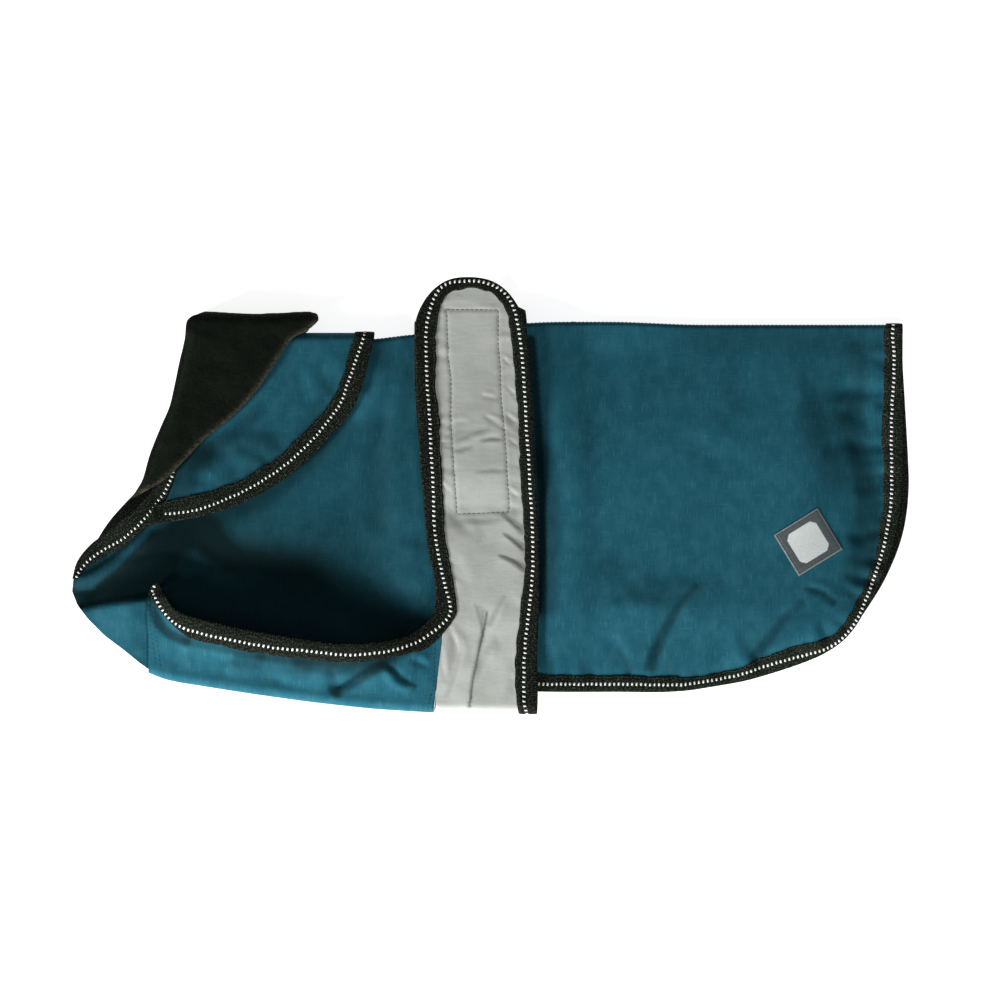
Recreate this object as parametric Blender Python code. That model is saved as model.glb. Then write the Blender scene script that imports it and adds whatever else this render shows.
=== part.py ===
"""Dog winter coat, folded flat along its spine and lying on its far side.

Millimetres in the tables and functions, metres in the meshes. +X runs from the neck to the tail,
+Y from the belly to the spine, +Z up from the surface the coat lies on. The near half is the upper
one. Every cloth piece is a sheet laid out in pattern coordinates (x, s): s is the distance from its
fold line, positive on the near half and negative on the far half. place() folds the sheet into
space, and each wall is that surface moved out and in by half its thickness. The binding tapes are
made from the same points as the edges they wrap.
"""

import math

import bmesh
import bpy
import numpy as np
from mathutils.geometry import delaunay_2d_cdt

MM = 0.001

# Cloth, tape and clearances.
SHELL = 1.2  # laminated outer cloth with its backing
STRAP = 1.2
FLEECE = 1.8
TAPE = 0.8  # one leaf of the folded binding
TAPE_WIDTH = 13.0  # binding as it shows on one face
TAPE_GAP = 0.45  # between a tape leaf and the cloth inside it
LABEL = 0.8
LABEL_GAP = 0.5

# Heights of the middle of each layer.
FAR_FLOOR = SHELL / 2  # far half lying on the surface
RIM_LIFT = TAPE + TAPE_GAP  # how far a lower tape leaf lifts an edge
FAR_OVER = 5.7  # extra height where strap, chest panel or collar lies under the far half
BODY_GAP = 5.0  # near half above far half
NECK_GAP = 8.3  # the same with the fleece between them
FRONT_GAP = 1.7  # the same along the seam at the centre of the front
BELLY_LIFT = 3.9  # strap and chest panel above the near half
TAIL_LIFT = 3.9  # far wing's end above the near half, and near wing above that
COLLAR_LIFT = 2.9
FLAP_LIFT = 4.9
FLEECE_INSET = 2.35  # inner fleece from the shell beside it
EDGE_TURN = 4.4  # how far the fleece turns in at its folded edge
EDGE_TURN_WIDTH = 6.0
MOUTH_RISE = 10.5  # how far the near leg opening stands open

# Moves the coat so that its box is centred over the origin.
CENTRE = (-0.75, 1.35)

# Grid spacing of the walls.
SPACING = 29.0
TAPE_STEP = 26.0
FOLD_STEP = 4.2
FOLD_REACH = 14.0

# Fold lines: the y of the outermost point of the fold, at a few x.
SPINE = {"x": (-235, -88, -66, -22, 27, 50, 100, 152, 318), "y": (117.4, 117.4, 120.6, 124.3, 130, 131, 131.1, 128.8, 128.8)}
BELLY = {"x": (-264, -258, -250, -228, -182, -136, -91, -45, 39), "y": (-131, -135.7, -140.2, -143.6, -150.9, -157.3, -162.3, -165.3, -165.7)}
COLLAR_FOLD_Y = 122.4
FLEECE_FOLD_Y = 138.0
NECK_FOLD_Y = 111.5
WING_FOLD_Y = 141.5

# Edges of the pieces as they lie: x, y. One row for each change of curve.
NECK_EDGE = ((-219, 116), (-226, 98.4), (-231.4, 75.6), (-236, 60.4), (-241.3, 41.4), (-245.1, 23.9), (-248.9, 12.5), (-256.5, 0.4), (-265.6, -9.5), (-276.3, -18.6), (-289.9, -29.3), (-302.9, -39.1), (-312.5, -51.3), (-316, -64))
NECK_EDGE_FAR = ((-219, 116), (-226, 98.4), (-231.4, 75.6), (-236, 60.4), (-241.3, 41.4), (-250.4, 24.7), (-263.3, 6.5), (-275.5, -6.5), (-287.7, -20.1), (-296, -32.3), (-302.1, -43.7), (-309.7, -55.9), (-315.5, -67))
FRONT_SEAM = ((-317.3, -74.1), (-313.5, -84), (-305.1, -94.6), (-293, -106.8), (-277.8, -118.2), (-264.9, -126.5), (-250.4, -128.5))
HEM = ((-208.6, -131.5), (-159.2, -137.9), (-98.4, -144.8), (-39.9, -147.8), (8, -148.6), (53.6, -149), (114.4, -149.3), (144.8, -148.6), (167.6, -145.5), (191.1, -141.4), (208.6, -136.8), (232.2, -129.2), (250, -122), (264.9, -113), (276, -101.5), (286.1, -84.5), (295.5, -65), (303.6, -42.2), (309, -20), (312, 3), (312.7, 30), (312.7, 71.8))
HEM_FAR = ((-208.6, -131.5), (-159.2, -137.9), (-98.4, -144.8), (-39.9, -147.6), (8, -148.3), (53.6, -148.6), (114.4, -149), (144.8, -147.8), (167.6, -144.8), (191.1, -140.2), (208.6, -135.7), (232.2, -128.1), (250, -121), (264.9, -112.1), (278, -98), (289.2, -82), (300, -64), (310, -41), (315.5, -20), (317.9, 3), (317.6, 25), (314.8, 75))
HEM_BOUND_FROM_X = -235.0
CHEST_LAP = ((-263, -122), (-261.1, -110.6), (-258.8, -87.8), (-254.5, -71))
CHEST_EDGE = ((-248.1, -68), (-243, -81.7), (-234.5, -90), (-221, -94.5), (-200.3, -99.2), (-174.4, -104.5), (-144, -109.8), (-112, -113.6), (-84, -112.1), (-64.2, -108.3), (-51.5, -101.5), (-42.5, -91.5), (-39.6, -79))
STRAP_LEFT = ((-41.5, -60), (-45.2, -44.5), (-47.5, -24.7), (-49.3, -1.1), (-51.3, 17.9), (-52.6, 45.2), (-54.3, 87), (-55.7, 115))
STRAP_TOP = ((-55, 131), (-49.5, 145), (-40.5, 156), (-29, 162.6), (-14, 164), (0, 161.6), (11, 155), (19.5, 144.5))
STRAP_RIGHT = ((25.8, 131.1), (28.5, 113.6), (30.8, 87), (32, 56.6), (33.4, 26.2), (35, -4.2), (36.9, -49.8), (36.6, -85), (35.3, -120), (35, -150))
WING_TAIL_Y = 28.0
SEAM_X = {"y": (-166, -130, -113, -100), "x": (-42.3, -38.6, -36.4, -36.0)}
COLLAR_EDGE = ((-93.9, 96.9), (-99.2, 77.9), (-107.5, 61.2), (-122, 44.5), (-138.7, 27), (-156.9, 12.5), (-180.5, -1.9), (-202.5, -11), (-224, -16.7), (-243.5, -20.4))
COLLAR_NECK = ((-235, -6), (-226, 9), (-227, 24), (-228, 42), (-225, 60.4), (-220.5, 79.4), (-216, 98.4), (-212.5, 114))
FLEECE_EDGE = ((-222.3, 134.5), (-228.4, 128), (-231.8, 115.9), (-235.2, 100.7), (-239, 82.5), (-242.8, 66.5), (-249.7, 50.5), (-257.5, 30.8), (-262, 14))
FLEECE_HEM = ((-263.5, 5.8), (-246, 12), (-233.7, 22.5), (-222, 37.5), (-200.3, 54.3), (-187.3, 66.5), (-174.4, 82.5), (-160.7, 98), (-153.7, 110), (-146, 120), (-133, 126.5))
INNER_NEAR = ((-221.5, 108), (-229, 83), (-235.5, 62), (-240, 45), (-228, 30), (-205, 48), (-188, 78), (-180, 112))
INNER_FAR = ((-180, 112), (-188, 70), (-210, 25), (-228, -5), (-250, -29), (-268, -46), (-281, -50), (-283, -41), (-275, -29), (-264, -17), (-251, -3), (-238, 16), (-233, 40), (-228, 60), (-224, 84), (-218, 108))
LABEL_MIDDLE = (242.0, -36.3)
LABEL_SIDES = (39.5, 37.0)
LABEL_TURN = math.radians(31.5)


def smooth(t):
    t = np.clip(t, 0.0, 1.0)
    return t * t * (3.0 - 2.0 * t)


def along(table, key, value, at):
    return np.interp(at, table[key], table[value])


def spine_y(x):
    return along(SPINE, "x", "y", x)


def belly_y(x):
    return along(BELLY, "x", "y", x)


def distance_to(line, x, y):
    """Distance from a point to a chain of segments."""
    a = np.asarray(line[:-1], float)
    b = np.asarray(line[1:], float)
    d = b - a
    p = np.array((x, y), float) - a
    t = np.clip((p * d).sum(1) / np.maximum((d * d).sum(1), 1e-9), 0.0, 1.0)
    gap = p - d * t[:, None]
    return math.sqrt((gap * gap).sum(1).min())


def inside(ring, x, y):
    """Even-odd test of a point against a closed ring."""
    hit = False
    n = len(ring)
    for i in range(n):
        x0, y0 = ring[i]
        x1, y1 = ring[(i + 1) % n]
        if (y0 > y) != (y1 > y) and x < x0 + (y - y0) * (x1 - x0) / (y1 - y0):
            hit = not hit
    return hit


def outside_distance(ring, x, y):
    return 0.0 if inside(ring, x, y) else distance_to(ring + ring[:1], x, y)


BELLY_RING = [(x, belly_y(x)) for x in (35, 0, -45, -91, -136, -182, -228, -250)] + list(CHEST_LAP + CHEST_EDGE + STRAP_LEFT + STRAP_TOP + STRAP_RIGHT)
COLLAR_RING = [(-90, 122)] + list(COLLAR_EDGE) + [(-262, 5)] + list(reversed(FLEECE_EDGE)) + [(-130, 138)]
INNER_RING = list(INNER_NEAR)
FAR_RIM = list(NECK_EDGE_FAR[5:]) + list(FRONT_SEAM) + list(HEM_FAR) + [(314, 128)]
FRONT_LINE = ((-311, -87), (-305.1, -94.6), (-293, -106.8), (-277.8, -118.2), (-264.9, -126.5))
OVER_MARGIN = 9.0
OVER_REACH = 45.0
RIM_REACH = 30.0


def far_back(x, y):
    over = 1.0 - smooth((min(outside_distance(BELLY_RING, x, y), outside_distance(COLLAR_RING, x, y)) - OVER_MARGIN) / OVER_REACH)
    rim = 1.0 - smooth((distance_to(FAR_RIM, x, y) - TAPE_WIDTH) / RIM_REACH)
    return FAR_FLOOR + max(FAR_OVER * over, RIM_LIFT * rim)


def near_back(x, y):
    neck = 1.0 - smooth(outside_distance(INNER_RING, x, y) / 95.0)
    gap = BODY_GAP + (NECK_GAP - BODY_GAP) * neck
    crown = 2.5 * smooth((x - 60.0) / 60.0) * smooth((300.0 - x) / 90.0) * smooth((y + 135.0) / 60.0) * smooth((120.0 - y) / 70.0)
    front = FRONT_GAP + 0.13 * distance_to(FRONT_LINE, x, y)
    return far_back(x, y) + min(gap + crown, front)


def chest_edge_y(x):
    rows = np.array(CHEST_EDGE[1:-1])
    return np.interp(x, rows[:, 0], rows[:, 1])


def near_belly(x, y):
    """Chest panel and strap on the near side; the chest panel stands open along the leg opening."""
    low = belly_y(x) + 8.0
    t = smooth((y - low) / max(chest_edge_y(x) - low, 12.0))
    mouth = smooth((x + 262.0) / 60.0) * smooth((-36.0 - x) / 70.0)
    lift = BELLY_LIFT - 1.0 * smooth((-235.0 - x) / 25.0) + MOUTH_RISE * mouth * t
    wing = smooth((y - WING_TAIL_Y + 50.0) / 40.0)
    droop = 4.0 * smooth((y - 138.0) / 30.0)
    return near_back(x, y) + lift + TAIL_LIFT * wing - droop


def far_belly(x, y):
    edge = distance_to(BELLY_RING + BELLY_RING[:1], x, y)
    return STRAP / 2 + RIM_LIFT * (1.0 - smooth((edge - TAPE_WIDTH) / 22.0)) * smooth((y - belly_y(x)) / 1.0 + 1.0)


def wing_tail(x, y):
    return near_back(x, y) + BELLY_LIFT - 0.6


def near_flap(x, y):
    turn = 1.0 - smooth(distance_to(FLEECE_EDGE, x, y) / EDGE_TURN_WIDTH)
    return near_back(x, y) + FLAP_LIFT - EDGE_TURN * turn


def far_flap(x, y):
    turn = 1.0 - smooth(distance_to(FLEECE_EDGE, x, y) / EDGE_TURN_WIDTH)
    return FLEECE / 2 + EDGE_TURN * turn


class Fold:
    """A sheet folded once: near and far are the heights of its two halves, down is the side of the fold line it hangs to."""

    def __init__(self, line, near, far, down):
        self.line, self.near, self.far, self.down = line, near, far, down

    def radius(self, x):
        y = self.line(x)
        middle = y - self.down * 4.0
        return 0.5 * (self.near(x, middle) - self.far(x, middle))

    def pattern(self, x, y, side):
        r = self.radius(x)
        return side * (self.down * (self.line(x) - y) + (math.pi / 2 - 1.0) * r)

    def place(self, x, s):
        r = self.radius(x)
        crease = self.line(x)
        quarter = r * math.pi / 2
        start = crease - self.down * r
        low = self.far(x, start)
        high = self.near(x, start)
        if abs(s) < quarter:
            r = 0.5 * (high - low)
            turn = abs(s) / quarter * math.pi / 2
            y = crease - self.down * r * (1.0 - math.cos(turn))
            return np.array((x, y, 0.5 * (high + low) + math.copysign(r * math.sin(turn), s)))
        y = start - self.down * (abs(s) - quarter)
        return np.array((x, y, self.near(x, y) if s > 0 else self.far(x, y)))


class WingFold(Fold):
    """The belly sheet: its far half runs up to the spine, over it, and down again on the near side."""

    def upper_start(self, x):
        """Pattern distance at which the far wing reaches the fold over the spine, and that fold's radius."""
        top = WING_FOLD_Y
        r = 0.5 * (wing_tail(x, top - 6.0) - self.far(x, top - 6.0))
        lower = self.radius(x)
        run = (top - r) - (self.line(x) + lower)
        return lower * math.pi / 2 + run, r

    def tail_pattern(self, x, y):
        begin, r = self.upper_start(x)
        return -(begin + math.pi * r + (WING_FOLD_Y - r - y))

    def place(self, x, s):
        if s > 0 or x < -70.0:
            return super().place(x, s)
        begin, r = self.upper_start(x)
        if -s <= begin:
            return super().place(x, s)
        past = -s - begin
        centre = WING_FOLD_Y - r
        if past < math.pi * r:
            low = self.far(x, centre)
            high = wing_tail(x, centre)
            r = 0.5 * (high - low)
            turn = past / (math.pi * r) * math.pi if r > 0 else 0.0
            turn = min(turn, math.pi)
            return np.array((x, centre + r * math.sin(turn), low + r * (1.0 - math.cos(turn))))
        y = centre - (past - math.pi * r)
        return np.array((x, y, wing_tail(x, y)))


def rounded(points, steps=6):
    """A smooth chain through points."""
    p = [np.array(q, float) for q in points]
    if len(p) < 3:
        return [tuple(q) for q in p]
    out = []
    for i in range(len(p) - 1):
        a = p[max(i - 1, 0)]
        b, c = p[i], p[i + 1]
        d = p[min(i + 2, len(p) - 1)]
        for k in range(steps):
            t = k / steps
            out.append(tuple(0.5 * (2 * b + (c - a) * t + (2 * a - 5 * b + 4 * c - d) * t * t + (3 * b - a - 3 * c + d) * t ** 3)))
    out.append(tuple(p[-1]))
    return out


def resampled(chain, step, fold_step, folds):
    """Points along a chain, close together where it crosses one of the folds and where it bends."""
    p = np.array(chain, float)
    length = np.hypot(*(p[1:] - p[:-1]).T)
    heading = np.unwrap(np.arctan2(*(p[1:] - p[:-1]).T[::-1]))
    cost = []
    for i, piece in enumerate(length):
        middle = 0.5 * (p[i] + p[i + 1])
        local = fold_step if any(abs(middle[1] - f) < FOLD_REACH for f in folds) else step
        bend = abs(heading[min(i + 1, len(heading) - 1)] - heading[max(i - 1, 0)]) / 2
        cost.append(piece / local + bend / 0.5)
    total = np.concatenate(([0.0], np.cumsum(cost)))
    count = max(1, int(round(total[-1])))
    at = np.linspace(0.0, total[-1], count + 1)
    return [(np.interp(a, total, p[:, 0]), np.interp(a, total, p[:, 1])) for a in at]


def normal_at(place, x, s):
    e = 0.4
    dx = place(x + e, s) - place(x - e, s)
    ds = place(x, s + e) - place(x, s - e)
    n = np.cross(ds, dx)
    return n / max(np.linalg.norm(n), 1e-9)


class Sheet:
    """A cloth wall in pattern coordinates. edges are (name, chain, width) in order round the outline; width is that of a strip laid out along the edge, for a tape or a turned edge, or 0."""

    def __init__(self, place, edges, thickness, spacing=SPACING, rows=(0.0,), fold_step=FOLD_STEP, folds=(0.0,)):
        self.place, self.thickness = place, thickness
        self.stations = {}
        ring, bound_at = [], []
        for name, chain, bound in edges:
            chain = resampled(chain, TAPE_STEP if bound else spacing, fold_step, folds)
            start = len(ring)
            ring += chain[:-1]
            bound_at.append((name, start, len(chain), bound))
        n = len(ring)
        area = sum(ring[i][0] * ring[(i + 1) % n][1] - ring[(i + 1) % n][0] * ring[i][1] for i in range(n))
        self.sign = 1.0 if area > 0 else -1.0
        points = [tuple(q) for q in ring]
        lines = [(i, (i + 1) % n) for i in range(n)]
        inner_ring = []
        for name, start, count, bound in bound_at:
            if not bound:
                continue
            inner = []
            for k in range(count):
                i = (start + k) % n
                if k == 0:
                    d = np.subtract(ring[(i + 1) % n], ring[i])
                elif k == count - 1:
                    d = np.subtract(ring[i], ring[(i - 1) % n])
                else:
                    a = np.subtract(ring[i], ring[(i - 1) % n])
                    b = np.subtract(ring[(i + 1) % n], ring[i])
                    d = a / np.linalg.norm(a) + b / np.linalg.norm(b)
                d = d / np.linalg.norm(d)
                inner.append(tuple(np.add(ring[i], self.sign * bound * np.array((-d[1], d[0])))))
            outer = [ring[(start + k) % n] for k in range(count)]
            self.stations[name] = list(zip(outer, inner))
            base = len(points)
            points += inner
            for k in range(count):
                lines.append(((start + k) % n, base + k))
                if k + 1 < count:
                    lines.append((base + k, base + k + 1))
                    lines.append(((start + k) % n, base + k + 1))
            inner_ring += inner
        xs = [q[0] for q in ring]
        ss = [q[1] for q in ring]
        guard = np.array(points)
        rows = sorted(set(rows))
        bands = [s for s in np.arange(math.floor(min(ss) / spacing) * spacing, max(ss), spacing * 0.9) if all(abs(s - r) > 0.55 * spacing for r in rows)]
        for s in list(rows) + bands:
            close = 4.0 if s in rows else 0.42 * spacing
            shift = 0.35 * spacing if s in rows or int(round(s / spacing)) % 2 else 0.85 * spacing
            for x in np.arange(min(xs) + shift, max(xs), spacing):
                if not inside(ring, x, s):
                    continue
                if np.hypot(guard[:, 0] - x, guard[:, 1] - s).min() < close:
                    continue
                if distance_to(ring + ring[:1], x, s) < (1.5 if s in rows else 0.3 * spacing):
                    continue
                if any(self.in_tape(st, x, s) for st in self.stations.values()):
                    continue
                points.append((x, s))
        verts, _, faces, _, _, _ = delaunay_2d_cdt([tuple(map(float, q)) for q in points], lines, [], 0, 1e-4)
        verts = [tuple(v) for v in verts]
        keep = []
        for f in faces:
            middle = np.mean([verts[i] for i in f], axis=0)
            if inside(ring, *middle):
                keep.append(tuple(f))
        self.verts, self.faces = verts, keep

    @staticmethod
    def in_tape(stations, x, s):
        strip = [o for o, _ in stations] + [i for _, i in reversed(stations)]
        return inside(strip, x, s) or distance_to([i for _, i in stations], x, s) < 3.0

    def at(self, point, lift=0.0):
        x, s = point
        p = self.place(x, s)
        return p if lift == 0.0 else p + normal_at(self.place, x, s) * lift

    def solid(self, name, material):
        """The wall, as one closed mesh."""
        half = self.thickness / 2
        used = sorted({i for f in self.faces for i in f})
        slot = {v: k for k, v in enumerate(used)}
        top = [self.at(self.verts[i], half) for i in used]
        bottom = [self.at(self.verts[i], -half) for i in used]
        n = len(used)
        faces = []
        edge_count = {}
        for f in self.faces:
            a, b, c = (slot[i] for i in f)
            faces.append((a, b, c))
            faces.append((n + c, n + b, n + a))
            for e in ((a, b), (b, c), (c, a)):
                edge_count[e] = edge_count.get(e, 0) + 1
        for (a, b) in edge_count:
            if (b, a) not in edge_count:
                faces.append((b, a, n + a))
                faces.append((b, n + a, n + b))
        return make(name, top + bottom, faces, material)


def tape(name, sheet, stations, material):
    """Folded tape over an edge: two leaves and the turn between them, around the cloth and clear of it."""
    half = sheet.thickness / 2
    near, out = half + TAPE_GAP, half + TAPE_GAP + TAPE
    points, faces = [], []
    for outer, inner in stations:
        o, i = sheet.at(outer), sheet.at(inner)
        no, ni = normal_at(sheet.place, *outer), normal_at(sheet.place, *inner)
        e = o - i
        e = e - no * e.dot(no)
        e = e / np.linalg.norm(e)
        points += [
            i + ni * out,
            o + no * out + e * (TAPE_GAP + 0.4 * TAPE),
            o - no * out + e * (TAPE_GAP + 0.4 * TAPE),
            i - ni * out,
            i - ni * near,
            o - no * near + e * TAPE_GAP,
            o + no * near + e * TAPE_GAP,
            i + ni * near,
        ]
    k = 8
    last = len(stations) - 1
    for j in range(last):
        for a in range(k):
            b = (a + 1) % k
            p, q, r, s = j * k + a, j * k + b, (j + 1) * k + b, (j + 1) * k + a
            # The inner faces are split along the same diagonal as the cloth inside them.
            faces += [(p, q, r), (p, r, s)] if a == 6 else [(p, q, s), (q, r, s)]
    for j, flip in ((0, False), (last, True)):
        for f in ((0, 1, 6), (0, 6, 7), (1, 2, 5), (1, 5, 6), (2, 3, 4), (2, 4, 5)):
            f = tuple(j * k + v for v in f)
            faces.append(f[::-1] if flip else f)
    return make(name, points, faces, material)


def make(name, points, faces, material):
    mesh = bpy.data.meshes.new(name)
    bm = bmesh.new()
    verts = [bm.verts.new(tuple(float(c) * MM for c in p)) for p in points]
    for f in faces:
        bm.faces.new([verts[i] for i in f])
    bmesh.ops.recalc_face_normals(bm, faces=bm.faces)
    bm.normal_update()
    if bm.calc_volume(signed=True) < 0:
        bmesh.ops.reverse_faces(bm, faces=bm.faces)
    bm.to_mesh(mesh)
    bm.free()
    mesh.shade_smooth()
    mesh.set_sharp_from_angle(angle=math.radians(40))
    mesh.materials.append(material)
    obj = bpy.data.objects.new(name, mesh)
    obj.parent = COAT
    bpy.context.scene.collection.objects.link(obj)
    return obj


def material(name, colour, roughness, metallic=0.0):
    m = bpy.data.materials.new(name)
    m.use_nodes = True
    shader = m.node_tree.nodes["Principled BSDF"]
    shader.inputs["Base Color"].default_value = (*colour, 1.0)
    shader.inputs["Roughness"].default_value = roughness
    shader.inputs["Metallic"].default_value = metallic
    m.diffuse_color = (*colour, 1.0)
    return m


for old in list(bpy.data.objects):
    bpy.data.objects.remove(old, do_unlink=True)

COAT = bpy.data.objects.new("coat", None)
COAT.location = (CENTRE[0] * MM, CENTRE[1] * MM, 0.0)
bpy.context.scene.collection.objects.link(COAT)

TEAL = material("teal_shell", (0.012, 0.085, 0.115), 0.6)
TEAL_CHEST = material("teal_chest", (0.018, 0.105, 0.14), 0.6)
GREY = material("reflective_grey", (0.38, 0.40, 0.39), 0.45, 0.2)
BLACK = material("binding_tape", (0.012, 0.012, 0.010), 0.85)
NAP = material("black_fleece", (0.008, 0.010, 0.007), 1.0)
PATCH = material("label_grey", (0.18, 0.20, 0.20), 0.5)


def laid(fold, rows, side):
    """Rows of x and y on one half, in pattern coordinates."""
    return [(x, fold.pattern(x, y, side)) for x, y in rows]


# Back panel: near outline from the rear of the spine to the front, then the far outline back again.
back = Fold(spine_y, near_back, far_back, 1.0)
near_neck = laid(back, NECK_EDGE, 1)
far_neck = laid(back, NECK_EDGE_FAR, -1)
front = laid(back, FRONT_SEAM, 1)
far_front = laid(back, FRONT_SEAM, -1)
bound_hem = [q for q in HEM if q[0] > HEM_BOUND_FROM_X]
bound_hem_far = [q for q in HEM_FAR if q[0] > HEM_BOUND_FROM_X]
rear = laid(back, bound_hem, 1) + [(313.0, 30.0), (313.2, 0.0), (313.4, -30.0)] + laid(back, bound_hem_far[::-1], -1)
NECK_BOUND_FROM = 6
back_edges = [
    ("hem", rounded(rear), TAPE_WIDTH),
    ("far_front", [laid(back, bound_hem_far[:1], -1)[0]] + far_front[::-1], 0),
    ("far_corner", [far_front[0], far_neck[-1]], 0),
    ("neck_far", rounded(far_neck[NECK_BOUND_FROM:][::-1]), TAPE_WIDTH),
    ("far_collar", rounded(far_neck[:NECK_BOUND_FROM + 1][::-1]), 0),
    ("top", [far_neck[0], (-216.5, 0.0), near_neck[0]], 0),
    ("near_collar", rounded(near_neck[:NECK_BOUND_FROM]), 0),
    ("neck_near", rounded(near_neck[NECK_BOUND_FROM - 1:]), TAPE_WIDTH),
    ("near_corner", [near_neck[-1], front[0]], 0),
    ("near_front", front + [laid(back, bound_hem[:1], 1)[0]], 0),
]
fold_rows = (0.0, 3.6, -3.6, 7.4, -7.4)
back_sheet = Sheet(back.place, back_edges, SHELL, rows=fold_rows)
back_sheet.solid("back_panel", TEAL)
tape("hem_binding", back_sheet, back_sheet.stations["hem"], BLACK)
tape("neck_binding_near", back_sheet, back_sheet.stations["neck_near"], BLACK)
tape("neck_binding_far", back_sheet, back_sheet.stations["neck_far"], BLACK)

# Chest panel and girth strap: one bound edge runs along both, and a seam divides them.
belly = WingFold(belly_y, near_belly, far_belly, -1.0)


def seam_x(y):
    return along(SEAM_X, "y", "x", y)


LAP_LOW = (-263.0, -124.0)
chest_near = laid(belly, CHEST_EDGE, 1)
chest_far = laid(belly, CHEST_EDGE, -1)
strap_near = laid(belly, STRAP_LEFT + STRAP_TOP + STRAP_RIGHT, 1)
tail_left = (-51.5, belly.tail_pattern(-50.0, WING_TAIL_Y))
tail_right = (31.0, belly.tail_pattern(30.0, WING_TAIL_Y))
far_left = laid(belly, STRAP_LEFT, -1) + [(-56.0, belly.tail_pattern(-50.0, 110.0)), (-55.0, belly.tail_pattern(-50.0, 70.0)), (-53.0, belly.tail_pattern(-50.0, WING_TAIL_Y + 12.0))]
far_right = [(q[0] + 0.8, q[1]) for q in laid(belly, [r for r in STRAP_RIGHT if r[1] < 100], -1)]
far_right = [(28.5, belly.tail_pattern(20.0, 120.0)), (30.0, belly.tail_pattern(20.0, 70.0)), (30.5, belly.tail_pattern(20.0, WING_TAIL_Y + 12.0))][::-1] + far_right
far_tail = [(-47.0, tail_left[1] + 2.0), (-38.0, tail_left[1] - 2.0), (20.0, tail_right[1] - 2.0), (27.5, tail_right[1] + 2.0)]
bound = chest_near + strap_near + [(35.4, 0.0)] + far_right[::-1][:len(far_right) - 3] + far_right[:3][::-1] + far_tail[::-1] + far_left[::-1] + chest_far[::-1]
lap_near = laid(belly, CHEST_LAP, 1)
lap_far = laid(belly, CHEST_LAP, -1)
front_lap = lap_far[::-1] + [(-263.6, -4.0), (-263.6, 4.0)] + lap_near
belly_edges = [
    ("bound", rounded(bound), TAPE_WIDTH),
    ("lap", [chest_far[0]] + front_lap + [chest_near[0]], 0),
]
wing_begin, wing_radius = belly.upper_start(-10.0)
wing_rows = tuple(-(wing_begin + wing_radius * math.pi * k / 4) for k in range(5))
belly_sheet = Sheet(belly.place, belly_edges, STRAP, rows=(0.0, 4.5, -4.5, 9.0, -9.0) + wing_rows, folds=(0.0, wing_rows[2]))


SEAM_GAP = 0.4
SEAM_TOP_Y = -86.0
seam_rows = [(seam_x(y), belly.pattern(seam_x(y), y, 1)) for y in (-86.0, -100.0, -113.0, -130.0, -150.0)]
seam_line = [(-400.0, seam_rows[0][1])] + seam_rows + [(seam_x(-166.0), 0.0)] + [(x, -s) for x, s in seam_rows[::-1]] + [(-400.0, -seam_rows[0][1])]


def split_sheet(sheet, keep_front):
    """The part of the belly sheet in front of the seam, or behind it, half a seam gap short of it."""
    part = Sheet.__new__(Sheet)
    part.place, part.thickness = sheet.place, sheet.thickness
    bm = bmesh.new()
    # A vertex's z holds its distance behind the seam, so a level cut follows the seam.
    verts = []
    for x, s in sheet.verts:
        gap = distance_to(seam_line, x, s)
        verts.append(bm.verts.new((x, s, -gap if inside(seam_line, x, s) else gap)))
    for f in sheet.faces:
        bm.faces.new([verts[i] for i in f])
    shift = -0.5 * SEAM_GAP if keep_front else 0.5 * SEAM_GAP
    bmesh.ops.bisect_plane(bm, geom=bm.verts[:] + bm.edges[:] + bm.faces[:], plane_co=(0, 0, shift), plane_no=(0, 0, 1), clear_outer=keep_front, clear_inner=not keep_front)
    bmesh.ops.triangulate(bm, faces=bm.faces[:])
    bmesh.ops.delete(bm, geom=[v for v in bm.verts if not v.link_faces], context="VERTS")
    bm.verts.index_update()
    part.verts = [(v.co.x, v.co.y) for v in bm.verts]
    part.faces = [tuple(v.index for v in f.verts) for f in bm.faces]
    bm.free()
    return part


split_sheet(belly_sheet, True).solid("chest_panel", TEAL_CHEST)
split_sheet(belly_sheet, False).solid("girth_strap", GREY)
tape("belly_binding", belly_sheet, belly_sheet.stations["bound"], BLACK)

# Shell collar, turned down over the back panel.
collar = Fold(lambda x: COLLAR_FOLD_Y, lambda x, y: near_back(x, y) + COLLAR_LIFT, lambda x, y: FAR_FLOOR + 2.4, 1.0)
collar_bound = laid(collar, COLLAR_EDGE[::-1], -1) + [(-88.3, 0.0)] + laid(collar, COLLAR_EDGE, 1)
collar_neck = laid(collar, COLLAR_NECK, 1) + [(-211.5, 0.0)] + laid(collar, COLLAR_NECK[::-1], -1)
collar_sheet = Sheet(collar.place, [
    ("bound", rounded(collar_bound), TAPE_WIDTH),
    ("neck", [collar_bound[-1]] + rounded(collar_neck) + [collar_bound[0]], 0),
], SHELL, rows=(0.0, 4.8, -4.8, 9.6, -9.6))
collar_sheet.solid("shell_collar", TEAL)
tape("collar_binding", collar_sheet, collar_sheet.stations["bound"], BLACK)

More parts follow.
